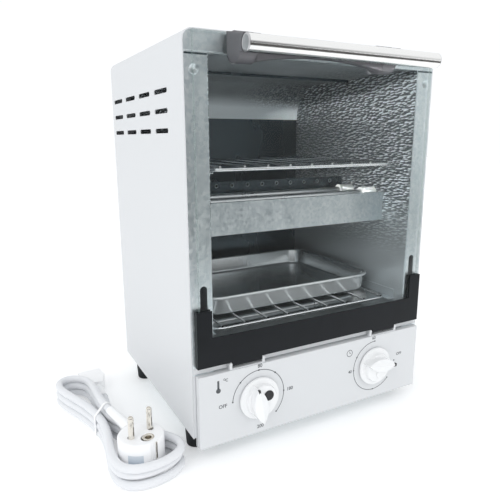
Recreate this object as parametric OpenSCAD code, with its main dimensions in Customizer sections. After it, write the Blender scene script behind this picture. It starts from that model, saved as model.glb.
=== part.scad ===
// Benchtop dry heat sterilizer: a small sheet-metal oven with a glass door that drops down to the front.
// Sizes are in millimetres. X runs left to right, Y runs front to back and Z stands up from the floor.
// Inside the modules Y = 0 is the front edge of the casing; from_front() puts it in the part's frame.

/* [Cabinet] */
// Width of the casing
shell_w = 250; // [230:1:300]
// Depth of the casing, front edge to rear panel
shell_d = 205; // [190:1:260]
// Height of the casing without its feet
shell_h = 322.5; // [310:0.5:360]
// Radius of the casing's two upper corners
shell_corner_r = 8; // [4:0.5:12]
// Thickness of the steel sheet
sheet = 0.8; // [0.7:0.1:1]
// Height of the casing's lower edge above the floor
foot_h = 22.5; // [18:0.5:30]
// Height of the turned-up rim of the base pan
base_rim_h = 14; // [8:1:30]

/* [Side vents] */
// Length of one vent slot
vent_l = 31.5; // [20:0.5:36]
// Height of one vent slot
vent_h = 3.8; // [3:0.1:6]
// Distance from slot to slot along a row
vent_pitch = 43.8; // [40:0.1:48]
// Distance from row to row
vent_row_pitch = 15.5; // [10:0.5:20]
// Centre of the top row below the casing's top
vent_drop = 39.7; // [30:0.1:60]
// Front end of the first slot behind the front edge
vent_front = 34.5; // [25:0.5:40]

/* [Front frame] */
// Height of the rail above the opening
top_rail_h = 15.2; // [12:0.1:20]
// Width of the upright stile at each side of the opening
stile_w = 18.4; // [17:0.1:20]
// Depth of the flanges that the frame turns inwards
return_depth = 8; // [5:0.5:12]
// Head radius of the stile rivets
rivet_head_r = 4; // [3:0.1:5]
// Shank radius of the stile rivets
rivet_shank_r = 2; // [1.5:0.1:2.4]
// Distance of a rivet below the top rail
rivet_drop = 12; // [8:0.5:30]

/* [Liner] */
// Height of the cavity floor above the control panel's top
floor_rise = 5; // [4:0.5:12]
// Inner radius of the curve where the ceiling turns down at the back
cove_r = 38.8; // [25:0.1:50]
// Gap between the cavity's back wall and the rear panel
back_gap = 5.4; // [4:0.1:12]

/* [Heaters] */
// Radius of a heater tube
heater_r = 4; // [3:0.1:4.5]
// Radius of a ceramic end cap
insulator_r = 6.5; // [6:0.1:8]
// Length of a ceramic end cap inside the cavity
insulator_l = 17; // [12:0.5:25]
// Radius of the cap's neck where it passes the wall
neck_r = 5; // [4:0.1:5.5]
// Height of the middle heater tubes above the cavity floor
mid_heater_rise = 128; // [110:1:134]
// Front tube of the middle pair behind the front edge
mid_heater_front = 52; // [48:1:60]
// Distance between the two tubes of the middle pair
mid_heater_pitch = 36; // [30:1:40]
// Height of the bottom heater tubes above the cavity floor
low_heater_rise = 13; // [9:0.5:15]
// Front tube of the bottom pair behind the front edge
low_heater_front = 60; // [50:1:75]
// Distance between the two tubes of the bottom pair
low_heater_pitch = 80; // [50:1:90]
// Front heat shield behind the front edge
shield_front = 36; // [30:1:40]
// Height of the front heat shield
shield_h = 28.5; // [22:0.5:32]
// Depth of the shield's turned flanges
shield_flange = 5; // [3:0.5:6]
// Height of the rear heat guard
guard_h = 36; // [28:0.5:40]
// Rear heat guard behind the rear middle tube
guard_gap = 15; // [12:0.5:20]
// Radius of a hole in the rear guard
guard_hole_r = 1.6; // [1:0.1:2.5]
// Distance from hole to hole in the rear guard
guard_hole_pitch = 17.5; // [12:0.5:20]

/* [Racks and tray] */
// Radius of a rack's outer wire
rack_wire_r = 1.5; // [1.2:0.1:2]
// Radius of a rack's cross wires
cross_wire_r = 1.1; // [0.8:0.1:1.2]
// Distance from the outer cross wires to the rack's side wires
cross_wire_side = 8.9; // [5:0.1:20]
// Number of cross wires in a rack
cross_wire_n = 9; // [5:2:9]
// Corner radius of a rack's outer wire
rack_corner_r = 12; // [8:0.5:18]
// Clearance from a rack to each side wall
rack_side_gap = 5; // [4:0.5:6]
// Front wire of a rack behind the front edge
rack_front = 15.5; // [14:0.5:20]
// Clearance from a rack's back wire to the cavity's back wall
rack_back_gap = 13; // [13:0.5:40]
// Height of the lower rack's wire above the cavity floor
low_rack_rise = 24.5; // [24:0.5:28]
// Height of the upper rack's wire above the cavity floor
top_rack_rise = 159.5; // [150:0.5:180]
// Width of a rack runner's shelf
runner_w = 8; // [6.5:0.5:10]
// Height of a rack runner's leaf on the wall
runner_h = 9; // [6:0.5:12]
// Clearance between a rack and the runner under it
runner_gap = 0.3; // [0.2:0.1:0.5]
// Distance from the tray's side walls to the rack's side wires
tray_side_gap = 3.5; // [3.5:0.5:20]
// Height of the tray
tray_h = 17.5; // [15:0.5:28]
// Corner radius of the tray
tray_corner_r = 18; // [12:0.5:25]
// Wall thickness of the tray
tray_wall = 0.7; // [0.5:0.1:1]
// Width of the tray's turned-out rim
tray_rim = 3; // [2:0.5:4]
// Distance from the tray's front wall to the rack's front wire
tray_setback = 22.5; // [5:0.5:40]
// Distance from the tray's back wall to the rack's back wire
tray_back_gap = 8; // [5:0.5:20]

/* [Door] */
// Thickness of the door glass
glass_t = 3; // [3:0.5:4]
// Clearance between the door glass and the front frame
door_gap = 1.2; // [1.2:0.1:2]
// Distance from the door's side edge to the casing's side
door_side_gap = 3.5; // [2:0.5:5]
// Distance from the door's top edge to the casing's top
door_top_gap = 1.5; // [1:0.5:4]
// Glass edge inside the door rail's side
glass_side_gap = 2.2; // [1.2:0.1:3]
// Height of the black rail along the door's lower edge
rail_h = 25; // [20:0.5:30]
// Height of the rail's upturned ends
ear_h = 48; // [44:0.5:52]
// Width of the rail's upturned ends
ear_w = 13.5; // [12:0.5:15]
// Height of the rail's lower edge above the control panel
rail_rise = 7; // [6.8:0.1:9]
// Width of one hinge, over its two bracket ears
hinge_w = 34; // [24:1:50]
// Distance of a hinge's middle from the door's middle
hinge_x = 76; // [55:1:80]
// Outer radius of a hinge knuckle
knuckle_r = 2; // [1.9:0.05:2.1]
// Radius of a hinge pin
pin_r = 1.3; // [1:0.05:1.3]
// Radial clearance of a hinge pin in its knuckle
pin_clear = 0.05; // [0.03:0.01:0.1]
// Thickness of a hinge bracket's ear
bracket_ear_t = 2.5; // [1.5:0.1:4]

/* [Handle] */
// Radius of the handle tube
tube_r = 6.25; // [6:0.25:8.5]
// Wall thickness of the handle tube
tube_wall = 1; // [0.8:0.1:1.5]
// Length of the handle tube over its end caps
tube_l = 184; // [160:1:220]
// Tube axis in front of the casing's front edge
tube_out = 33; // [28:0.5:38]
// Tube axis below the casing's top
tube_drop = 13; // [12:0.5:16]
// Outer face of the left handle post, left of the door's middle
post_left = 92; // [85:1:100]
// Outer face of the right handle post, right of the door's middle
post_right = 54; // [50:1:90]
// Width of a handle post
post_w = 14; // [11:0.5:18]
// Radius of the rounded lower end of a post
post_r = 11; // [10:0.5:12]
// Thickness of the web between the posts
web_t = 8; // [5:0.5:9]
// Height of the arch under the web
web_arch = 6; // [2:0.5:7]
// Radius of the screws that hold the handle
handle_screw_r = 2; // [1.5:0.1:2.5]
// Head radius of the screws that hold the handle
handle_head_r = 3.2; // [2.8:0.1:3.6]

/* [Stay arms] */
// Distance from the hinge to the middle of a stay arm at its door end
stay_r0 = 30; // [28:0.5:32]
// Distance from the hinge to the middle of a stay arm at its free end
stay_r1 = 62; // [58:0.5:64]
// Width of a stay arm
stay_w = 8; // [6:0.5:9]
// Thickness of a stay arm
stay_t = 1.5; // [1:0.1:2.5]
// Angle that a stay arm spans behind the door
stay_angle = 98; // [95:1:102]
// Width of the slot that a stay arm passes through
slot_w = 6.2; // [5:0.1:7]
// Clearance past a stay arm at each end of its slot
slot_clear = 4; // [2:0.5:6]
// Middle of the slot outside the stile's inner edge
slot_inset = 7.1; // [6:0.1:9]

/* [Control panel] */
// Height of the control panel
panel_h = 65; // [60:0.5:70]
// Distance that the panel reaches below the casing
panel_drop = 8.5; // [2:0.5:12]
// Distance that the panel stands in front of the casing
panel_proud = 5.5; // [5.5:0.1:8]
// Distance from the panel's side to the casing's side
panel_inset = 3.3; // [2:0.1:5]
// Depth of the panel's top ledge behind the casing's front edge
ledge_depth = 6; // [4:0.5:10]
// Distance of each knob from the panel's middle
knob_x = 65.5; // [55:0.5:80]
// Height of the knobs above the panel's lower edge
knob_rise = 34; // [30:0.5:38]

/* [Knobs] */
// Radius of a knob's round skirt
skirt_r = 19; // [16:0.5:20]
// Thickness of a knob's skirt
skirt_t = 3; // [2:0.1:4]
// Gap between a knob and the panel
knob_gap = 0.6; // [0.4:0.1:1]
// Radius of the raised hub inside a knob's skirt
hub_r = 14.5; // [13:0.5:15]
// Height of the raised hub above the skirt
hub_h = 4; // [4:0.1:5]
// Length of a knob's boat-shaped grip
grip_l = 34; // [30:0.5:34]
// Width of a knob's grip
grip_w = 13; // [10:0.5:14]
// Height of a knob's grip above its skirt
grip_h = 12.5; // [8:0.5:15]
// Distance of the grip's middle from the knob's axis
grip_shift = 5; // [3:0.5:6]
// Radius of the black inlay beside the grip
inlay_r = 4.6; // [3:0.1:4.8]
// Height of the black inlay above the hub
inlay_h = 0.8; // [0.6:0.1:2]
// Angle of the temperature knob's grip, clockwise from upright
temperature_turn = -9; // [-20:1:20]
// Angle of the timer knob's grip, clockwise from upright
timer_turn = 99; // [80:1:110]
// Radius of a control shaft
shaft_r = 3; // [2.5:0.1:3.5]
// Radial clearance of a control shaft in its bearing
shaft_clear = 0.05; // [0.03:0.01:0.1]
// Radius of the hole that a control shaft passes in the panel
shaft_hole_r = 4.5; // [4:0.1:6]

/* [Controls inside] */
// Radius of the thermostat's body
thermostat_r = 16; // [12:0.5:20]
// Depth of the thermostat's body
thermostat_d = 26; // [18:0.5:40]
// Radius of the timer's body
timer_r = 20; // [15:0.5:24]
// Depth of the timer's body
timer_d = 32; // [24:0.5:45]
// Side of the square plate that a control is fixed with
mount_plate = 44; // [42:1:50]
// Thickness of the plate that a control is fixed with
mount_plate_t = 1.5; // [1:0.1:2]
// Radius of the temperature probe
probe_r = 3; // [2:0.1:4]
// Length of the temperature probe
probe_l = 60; // [40:1:80]
// Height of the temperature probe above the cavity floor
probe_rise = 141; // [138:1:148]
// Radius of the timer's bell
bell_r = 17; // [12:0.5:20]

/* [Rear inlet] */
// Distance of the mains inlet from the cabinet's middle
inlet_x = 75; // [50:1:85]
// Height of the mains inlet's middle above the casing's lower edge
inlet_rise = 29; // [22:0.5:40]
// Width of the inlet's flange
flange_w = 48; // [46:0.5:52]
// Height of the inlet's flange
flange_h = 28; // [26:0.5:32]
// Thickness of the inlet's flange
flange_t = 2; // [1.5:0.1:3]
// Width of the inlet's socket
socket_w = 24.6; // [24:0.1:25]
// Height of the inlet's socket
socket_h = 16.6; // [16:0.1:17]
// Depth of the inlet's socket
socket_d = 16; // [15:0.5:18]
// Wall thickness of the inlet's socket
socket_wall = 1.8; // [1.2:0.1:2]
// Length of the inlet's blades
blade_l = 11; // [9:0.5:11]

/* [Feet] */
// Radius of a foot at its top
foot_top_r = 10; // [9:0.5:12]
// Radius of a foot at the floor
foot_low_r = 8.6; // [8:0.1:9]
// Rounding of a foot's lower edge
foot_round = 1.5; // [1:0.1:2]
// Distance of a foot's middle from the casing's side
foot_side = 13; // [12:0.5:25]
// Distance of a foot's middle from the casing's front or back
foot_end = 27.5; // [20:0.5:40]
// Depth of the screw recess in a foot
foot_recess = 14; // [8:0.5:15]
// Radius of the screw recess in a foot
foot_recess_r = 4.5; // [4:0.1:5]
// Radius of a foot screw
foot_screw_r = 2; // [1.5:0.1:2.2]

/* [Mains lead] */
// Diameter of the mains cord
cord_d = 7; // [6:0.1:7.2]
// Number of loops in the tied hank
loop_n = 3; // [2:1:3]
// Reach of the hank's near lobe from its waist
near_reach = 91; // [88:1:96]
// Reach of the hank's far lobe from its waist
far_reach = 92; // [88:1:96]
// Distance of the hank's waist from the casing's side
hank_side = 57; // [50:1:70]
// Distance of the hank's waist behind the casing's front edge
hank_back = 80; // [60:1:90]
// Angle of the hank to the casing's side
hank_turn = 8.3; // [0:0.1:9]
// Radius of the round plug
plug_r = 19; // [17:0.5:19]
// Height of the plug's body
plug_h = 33; // [32.5:0.5:36]
// Radius of a plug pin
plug_pin_r = 2.4; // [2:0.1:2.4]
// Length of a plug pin
plug_pin_l = 19; // [17:0.5:20]
// Distance between the plug pins
plug_pin_pitch = 19; // [18.5:0.1:19.5]
// Angle of the plug's pins to the casing's front
plug_turn = 15.5; // [0:0.5:30]
// Height of the connector's body
connector_h = 16; // [15:0.5:16.4]
// Width of the connector's nose
connector_w = 24; // [23:0.1:24.2]

/* [Hidden] */

shell_white = [0.93, 0.94, 0.95];
galvanised = [0.66, 0.71, 0.73];
steel = [0.8, 0.8, 0.8];
satin_black = [0.12, 0.13, 0.14];
handle_plum = [0.33, 0.31, 0.33];
knob_white = [0.92, 0.93, 0.93];
ceramic_white = [0.94, 0.93, 0.9];
brass_yellow = [0.8, 0.66, 0.38];
glass_tint = [0.75, 0.83, 0.85, 0.3];

fine = 64;
shell_z0 = foot_h;
shell_z1 = foot_h + shell_h;
inner_x = shell_w / 2 - sheet;
inner_z1 = shell_z1 - sheet;
rear_y = shell_d - sheet;
rear_proud = flange_t;
front_reach = tube_out + tube_r;
front_y = (front_reach - shell_d - rear_proud) / 2;

panel_z0 = shell_z0 - panel_drop;
panel_z1 = panel_z0 + panel_h;
panel_x = shell_w / 2 - panel_inset;
knob_z = panel_z0 + knob_rise;

rail_low_z = inner_z1 - top_rail_h;
stile_in_x = inner_x - stile_w;
wall_x = stile_in_x - sheet;
floor_z = panel_z1 + floor_rise;
ceiling_z = rail_low_z + sheet;
liner_back_y = rear_y - back_gap;
wall_inner_y = liner_back_y - sheet;
cove_y = wall_inner_y - cove_r - sheet;
cove_z = ceiling_z - cove_r;
rivet_x = inner_x - stile_w / 2 + 1.5;
rivet_z = rail_low_z - rivet_drop;

door_x = shell_w / 2 - door_side_gap;
door_back_y = -door_gap;
glass_front_y = door_back_y - glass_t;
door_front_y = glass_front_y - sheet;
lip_y = door_back_y + sheet;
rail_z0 = panel_z1 + rail_rise;
glass_z0 = rail_z0 + sheet;
glass_z1 = shell_z1 - door_top_gap;
glass_x = door_x - sheet - glass_side_gap;
pivot_y = door_front_y + knuckle_r;
hinge_play = 0.3;
pivot_z = rail_z0 - knuckle_r - hinge_play;
knuckle_l = hinge_w - 2 * bracket_ear_t - 2 * hinge_play;

slot_x = stile_in_x + slot_inset;
slot_z0 = pivot_z + stay_r0 - stay_w / 2 - slot_clear;
slot_z1 = pivot_z + stay_r1 + stay_w / 2 + slot_clear;

tube_z = shell_z1 - tube_drop;
tube_seat = 0.05;
post_y = glass_front_y - post_r;
post_z = tube_z - 0.5;
post_top = glass_z1 + 0.5;
post_front_top = tube_z + tube_r + 0.5;
seat_y = -tube_out + tube_r / 2;
web_top = tube_z + tube_r + 2;
web_back_y = -tube_out + tube_r + web_t + 2;
screw_z = rail_low_z - handle_head_r - 0.6;

shaft_back = 8;
grip_back_y = -panel_proud - knob_gap - skirt_t;
shaft_front = grip_back_y - 3;

top_rack_z = floor_z + top_rack_rise;
low_rack_z = floor_z + low_rack_rise;
rack_x = wall_x - rack_side_gap - rack_wire_r;
rack_l = wall_inner_y - rack_back_gap - rack_wire_r - rack_front;
cross_wire_pitch = 2 * (rack_x - cross_wire_side) / (cross_wire_n - 1);
tray_w = 2 * (rack_x - tray_side_gap);
tray_l = rack_l - tray_setback - tray_back_gap;
cross_lift = rack_wire_r + cross_wire_r - 0.5;
tray_z = low_rack_z + cross_lift + cross_wire_r + 0.3;
tray_y = rack_front + tray_setback;

mid_heater_z = floor_z + mid_heater_rise;
low_heater_z = floor_z + low_heater_rise;
shield_top_z = mid_heater_z + 2;
guard_y = mid_heater_front + mid_heater_pitch + guard_gap;
pin_tip = 4;

inlet_z = shell_z0 + inlet_rise;
foot_x = shell_w / 2 - foot_side;

// Moves a piece from the casing's front edge into the part's frame
module from_front() {
  translate([0, front_y, 0]) children();
}

// Draws a piece and its mirror image on the other side
module both_sides() {
  children();
  mirror([1, 0, 0]) children();
}

// Extrudes an outline drawn in Y and Z by w along X, from x0
module along_x(w, x0) {
  translate([x0, 0, 0]) rotate([90, 0, 90]) linear_extrude(w) children();
}

// Extrudes an outline drawn in X and Z by d along Y, from y0
module along_y(d, y0) {
  translate([0, y0 + d, 0]) rotate([90, 0, 0]) linear_extrude(d) children();
}

// A box between two corners
module block(a, b) {
  translate(a) cube(b - a);
}

// A round bar along X between x0 and x1
module bar_x(r, x0, x1, y, z) {
  translate([x0, y, z]) rotate([0, 90, 0]) cylinder(r = r, h = x1 - x0, $fn = fine);
}

// A round bar along Y between y0 and y1
module bar_y(r, y0, y1, x, z) {
  translate([x, y1, z]) rotate([90, 0, 0]) cylinder(r = r, h = y1 - y0, $fn = fine);
}

// A round bar along Z between z0 and z1
module bar_z(r, z0, z1, x, y) {
  translate([x, y, z0]) cylinder(r = r, h = z1 - z0, $fn = fine);
}

// Outline of the casing: a rectangle with two round upper corners
module arch(half_w, z0, z1, r) {
  translate([-half_w, z0]) square([2 * half_w, z1 - z0 - r]);
  translate([-half_w + r, z0]) square([2 * (half_w - r), z1 - z0]);
  translate([-half_w + r, z1 - r]) circle(r, $fn = fine);
  translate([half_w - r, z1 - r]) circle(r, $fn = fine);
}

// Outline of a slot with round ends, l long in the first direction and h high
module slot(l, h) {
  translate([h / 2, -h / 2]) square([l - h, h]);
  translate([h / 2, 0]) circle(h / 2, $fn = fine);
  translate([l - h / 2, 0]) circle(h / 2, $fn = fine);
}

// Outline of a rectangle with round corners, centred
module round_rect(w, l, r) {
  square([w - 2 * r, l], center = true);
  square([w, l - 2 * r], center = true);
  for (sx = [-1, 1], sy = [-1, 1]) translate([sx * (w / 2 - r), sy * (l / 2 - r)]) circle(r, $fn = fine);
}

// Painted casing: one sheet bent over the top and down both sides, with vent slots
module vent_slots() {
  for (row = [0:2], col = [0:3])
    along_x(4 * sheet, -shell_w / 2 - 1)
      translate([vent_front + col * vent_pitch, shell_z1 - vent_drop - row * vent_row_pitch])
        slot(vent_l, vent_h);
}

module outer_shell() {
  color(shell_white) from_front() difference() {
    along_y(shell_d, 0) difference() {
      arch(shell_w / 2, shell_z0, shell_z1, shell_corner_r);
      arch(inner_x, shell_z0 - 1, inner_z1, shell_corner_r - sheet);
    }
    both_sides() vent_slots();
  }
}

// Rear panel, set between the casing's sides, with vents and the inlet's opening
rear_vent_l = 60;
module rear_panel() {
  color(shell_white) from_front() difference() {
    along_y(sheet, rear_y) arch(inner_x, shell_z0, inner_z1, shell_corner_r - sheet);
    for (row = [0:2], side = [-1, 1])
      along_y(3 * sheet, rear_y - sheet)
        translate([side * inner_x / 2 - rear_vent_l / 2, shell_z1 - vent_drop - row * vent_row_pitch])
          slot(rear_vent_l, vent_h);
    translate([-inlet_x, 0, inlet_z])
      block([-socket_w / 2 - socket_wall, rear_y - 1, -socket_h / 2 - socket_wall],
            [socket_w / 2 + socket_wall, shell_d + 1, socket_h / 2 + socket_wall]);
    for (p = rear_screw_places) bar_y(rear_screw_r, rear_y - 1, shell_d + 1, p[0], p[1]);
  }
}

// Self-tapping screws round the rear panel
rear_screw_r = 1.6;
rear_screw_head_r = 3.2;
rear_screw_inset = 8;
rear_screw_places = [
  for (sx = [-1, 1], z = [shell_z0 + 10, shell_z0 + shell_h / 2, shell_z1 - 12])
    [sx * (inner_x - rear_screw_inset), z]
];
module rear_screws() {
  color(steel) from_front() for (p = rear_screw_places) {
    bar_y(rear_screw_head_r, shell_d, shell_d + rear_proud - 0.4, p[0], p[1]);
    bar_y(rear_screw_r, rear_y - 4, shell_d, p[0], p[1]);
  }
}

// Base pan with its turned-up side rims, drilled for the foot screws
module base_pan() {
  color(galvanised) from_front() difference() {
    union() {
      block([-inner_x, sheet, shell_z0], [inner_x, rear_y, shell_z0 + sheet]);
      both_sides() block([inner_x - sheet, sheet, shell_z0], [inner_x, rear_y, shell_z0 + base_rim_h]);
    }
    at_feet() bar_z(foot_screw_r + 0.2, shell_z0 - 1, shell_z0 + 2 * sheet, 0, 0);
  }
}

module at_feet() {
  for (sx = [-1, 1], y = [foot_end, shell_d - foot_end]) translate([sx * foot_x, y, 0]) children();
}

// Rubber feet, each with a recess for its screw
module feet() {
  color(satin_black) from_front() at_feet() rotate_extrude($fn = fine) difference() {
    union() {
      polygon([
        [0, 0], [foot_low_r - foot_round, 0], [foot_low_r, foot_round],
        [foot_top_r, foot_h], [0, foot_h]
      ]);
      intersection() {
        translate([foot_low_r - foot_round, foot_round]) circle(foot_round, $fn = fine);
        square([foot_low_r, foot_round]);
      }
    }
    square([foot_recess_r, foot_recess]);
    square([foot_screw_r + 0.2, foot_h + 1]);
  }
}

foot_head_h = 2.4;
module foot_screws() {
  color(steel) from_front() at_feet() {
    bar_z(foot_recess_r - 0.7, foot_recess - foot_head_h, foot_recess, 0, 0);
    bar_z(foot_screw_r, foot_recess, shell_z0 + sheet + 3, 0, 0);
    bar_z(foot_recess_r - 0.7, shell_z0 + sheet, shell_z0 + sheet + 2.4, 0, 0);
  }
}

// Painted control panel: front face, top ledge, side returns and a foot under the base pan
module control_panel() {
  color(shell_white) from_front() difference() {
    union() {
      block([-panel_x, -panel_proud, panel_z0], [panel_x, sheet - panel_proud, panel_z1]);
      block([-panel_x, -panel_proud, panel_z1 - sheet], [panel_x, ledge_depth, panel_z1]);
      both_sides() block([panel_x - sheet, -panel_proud, panel_z0], [panel_x, 0, panel_z1]);
      block([-panel_x, -panel_proud, panel_z0], [panel_x, 2 * sheet + 1, panel_z0 + sheet]);
      block([-panel_x, sheet + 1, panel_z0], [panel_x, 2 * sheet + 1, shell_z0]);
    }
    both_sides() bar_y(shaft_hole_r, -panel_proud - 1, 1 - panel_proud + sheet, knob_x, knob_z);
  }
}

// Galvanised rail above the opening, with its inward flange under the ceiling
module top_rail() {
  color(galvanised) from_front() union() {
    along_y(sheet, 0) arch(inner_x, rail_low_z, inner_z1, shell_corner_r - sheet);
    block([-wall_x, 0, rail_low_z], [wall_x, return_depth, ceiling_z]);
  }
}

// Galvanised stile beside the opening, with the slot for the stay arm
module stile() {
  difference() {
    union() {
      block([stile_in_x, 0, panel_z1], [inner_x, sheet, rail_low_z]);
      block([stile_in_x, 0, panel_z1], [stile_in_x + sheet, return_depth, rail_low_z]);
    }
    along_y(3 * sheet, -sheet) translate([slot_x, slot_z0]) rotate(90) slot(slot_z1 - slot_z0, slot_w);
    bar_y(rivet_shank_r + 0.1, -1, 2 * sheet, rivet_x, rivet_z);
  }
}

module right_stile() {
  color(galvanised) from_front() stile();
}

module left_stile() {
  color(galvanised) from_front() mirror([1, 0, 0]) stile();
}

// Domed rivets in the stiles
rivet_dome = 1;
module stile_rivets() {
  color(galvanised) from_front() both_sides() {
    translate([rivet_x, 0, rivet_z]) rotate([90, 0, 0]) rotate_extrude($fn = fine) intersection() {
      square([rivet_head_r, rivet_dome]);
      translate([0, rivet_dome - dome_r]) circle(dome_r, $fn = 2 * fine);
    }
    bar_y(rivet_shank_r, 0, sheet + 1.5, rivet_x, rivet_z);
    bar_y(rivet_shank_r + 1, sheet, sheet + 1.5, rivet_x, rivet_z);
  }
}
dome_r = (rivet_head_r * rivet_head_r + rivet_dome * rivet_dome) / (2 * rivet_dome);

// Side wall of the cavity, drilled for the heater necks
heater_places = [
  [mid_heater_front, mid_heater_z],
  [mid_heater_front + mid_heater_pitch, mid_heater_z],
  [low_heater_front, low_heater_z],
  [low_heater_front + low_heater_pitch, low_heater_z]
];
module liner_wall() {
  difference() {
    block([wall_x, sheet, floor_z], [stile_in_x, wall_inner_y, ceiling_z]);
    for (p = heater_places) bar_x(neck_r + 0.1, wall_x - 1, stile_in_x + 1, p[0], p[1]);
  }
}

module liner_right_wall() {
  color(galvanised) from_front() liner_wall();
}

module liner_left_wall() {
  color(galvanised) from_front() mirror([1, 0, 0]) difference() {
    liner_wall();
    bar_x(capillary_r + 0.3, wall_x - 1, stile_in_x + 1, capillary_y, probe_z);
  }
}

// Ceiling that turns down in a curve in front of the back wall
module liner_ceiling() {
  color(galvanised) from_front() along_x(2 * wall_x, -wall_x) union() {
    translate([sheet, ceiling_z]) square([cove_y - sheet, sheet]);
    translate([cove_y, cove_z]) difference() {
      intersection() {
        circle(cove_r + sheet, $fn = 2 * fine);
        square(cove_r + sheet);
      }
      circle(cove_r, $fn = 2 * fine);
    }
  }
}

module liner_back_wall() {
  color(galvanised) from_front()
    block([-stile_in_x, wall_inner_y, floor_z], [stile_in_x, liner_back_y, ceiling_z + sheet]);
}

// Cavity floor with a front lip that stands on the control panel's ledge
module liner_floor() {
  color(galvanised) from_front() union() {
    block([-wall_x, sheet, floor_z], [wall_x, wall_inner_y, floor_z + sheet]);
    block([-wall_x, sheet, panel_z1], [wall_x, 2 * sheet, floor_z + sheet]);
  }
}

// Front heat shield: a strip across the cavity with turned upper, lower and end flanges
module heater_shield() {
  color(galvanised) from_front() union() {
    block([-wall_x, shield_front, shield_top_z - shield_h], [wall_x, shield_front + sheet, shield_top_z]);
    block([-wall_x, shield_front, shield_top_z - sheet],
          [wall_x, shield_front + shield_flange, shield_top_z]);
    block([-wall_x, shield_front, shield_top_z - shield_h],
          [wall_x, shield_front + shield_flange, shield_top_z - shield_h + sheet]);
    both_sides() block([wall_x - sheet, shield_front, shield_top_z - shield_h],
                       [wall_x, shield_front + shield_flange, shield_top_z]);
  }
}

// Rear heat guard with a row of small holes near its top
guard_top_z = shield_top_z + 12;
guard_hole_n = floor((wall_x - 12) / guard_hole_pitch);
module heater_guard() {
  color(galvanised) from_front() difference() {
    union() {
      block([-wall_x, guard_y, guard_top_z - guard_h], [wall_x, guard_y + sheet, guard_top_z]);
      block([-wall_x, guard_y - 3, guard_top_z - guard_h],
            [wall_x, guard_y, guard_top_z - guard_h + sheet]);
    }
    for (i = [-guard_hole_n:guard_hole_n])
      bar_y(guard_hole_r, guard_y - 1, guard_y + 2, i * guard_hole_pitch, guard_top_z - 4);
  }
}

// A pair of heater tubes with a terminal pin at each end
module heater_pair(y0, pitch, z) {
  for (y = [y0, y0 + pitch]) {
    bar_x(heater_r, -wall_x + insulator_l / 2, wall_x - insulator_l / 2, y, z);
    bar_x(1.2, -stile_in_x - pin_tip, stile_in_x + pin_tip, y, z);
  }
}

// Ceramic caps over the tube ends, each with a neck through the side wall
module insulator_set(y0, pitch, z) {
  both_sides() for (y = [y0, y0 + pitch]) difference() {
    union() {
      bar_x(insulator_r, wall_x - insulator_l, wall_x, y, z);
      bar_x(neck_r, wall_x - 1, stile_in_x + 2.7, y, z);
    }
    bar_x(heater_r + 0.1, wall_x - insulator_l - 1, wall_x - insulator_l / 2 + 0.1, y, z);
    bar_x(1.3, wall_x - insulator_l, stile_in_x + 4, y, z);
  }
}

module middle_heater_tubes() {
  color(steel) from_front() heater_pair(mid_heater_front, mid_heater_pitch, mid_heater_z);
}

module middle_heater_insulators() {
  color(ceramic_white) from_front() insulator_set(mid_heater_front, mid_heater_pitch, mid_heater_z);
}

module bottom_heater_tubes() {
  color(steel) from_front() heater_pair(low_heater_front, low_heater_pitch, low_heater_z);
}

module bottom_heater_insulators() {
  color(ceramic_white) from_front() insulator_set(low_heater_front, low_heater_pitch, low_heater_z);
}

// Runners: a shelf under each side wire of a rack, with a leaf up the wall
module runners() {
  for (z = [top_rack_z, low_rack_z]) {
    top = z - rack_wire_r - runner_gap;
    block([wall_x - runner_w, rack_front - 3, top - sheet], [wall_x, rack_front + rack_l, top]);
    block([wall_x - sheet, rack_front - 3, top - sheet], [wall_x, rack_front + rack_l, top + runner_h]);
  }
}

module right_rack_runners() {
  color(galvanised) from_front() runners();
}

module left_rack_runners() {
  color(galvanised) from_front() mirror([1, 0, 0]) runners();
}

// Wire rack: an outer wire with round corners and cross wires welded on top
module rack(z) {
  y0 = rack_front;
  y1 = rack_front + rack_l;
  c = rack_corner_r;
  for (y = [y0, y1]) bar_x(rack_wire_r, -rack_x + c, rack_x - c, y, z);
  for (x = [-rack_x, rack_x]) bar_y(rack_wire_r, y0 + c, y1 - c, x, z);
  for (k = [[1, 1, 0], [-1, 1, 90], [-1, -1, 180], [1, -1, 270]])
    translate([k[0] * (rack_x - c), (y0 + y1) / 2 + k[1] * (rack_l / 2 - c), z])
      rotate(k[2]) rotate_extrude(angle = 90, $fn = 2 * fine)
        translate([c, 0]) circle(rack_wire_r, $fn = fine);
  for (i = [-(cross_wire_n - 1) / 2:(cross_wire_n - 1) / 2])
    bar_y(cross_wire_r, y0 - 0.5, y1 + 0.5, i * cross_wire_pitch, z + cross_lift);
}

module upper_rack() {
  color(steel) from_front() rack(top_rack_z);
}

module lower_rack() {
  color(steel) from_front() rack(low_rack_z);
}

// Pressed tray with an open top and a turned-out rim
module tray() {
  color(steel) from_front() translate([0, tray_y + tray_l / 2, tray_z]) difference() {
    union() {
      linear_extrude(tray_h) round_rect(tray_w, tray_l, tray_corner_r);
      translate([0, 0, tray_h - 1]) linear_extrude(1)
        round_rect(tray_w + 2 * tray_rim, tray_l + 2 * tray_rim, tray_corner_r + tray_rim);
    }
    translate([0, 0, tray_wall]) linear_extrude(tray_h)
      round_rect(tray_w - 2 * tray_wall, tray_l - 2 * tray_wall, tray_corner_r - tray_wall);
  }
}

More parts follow.
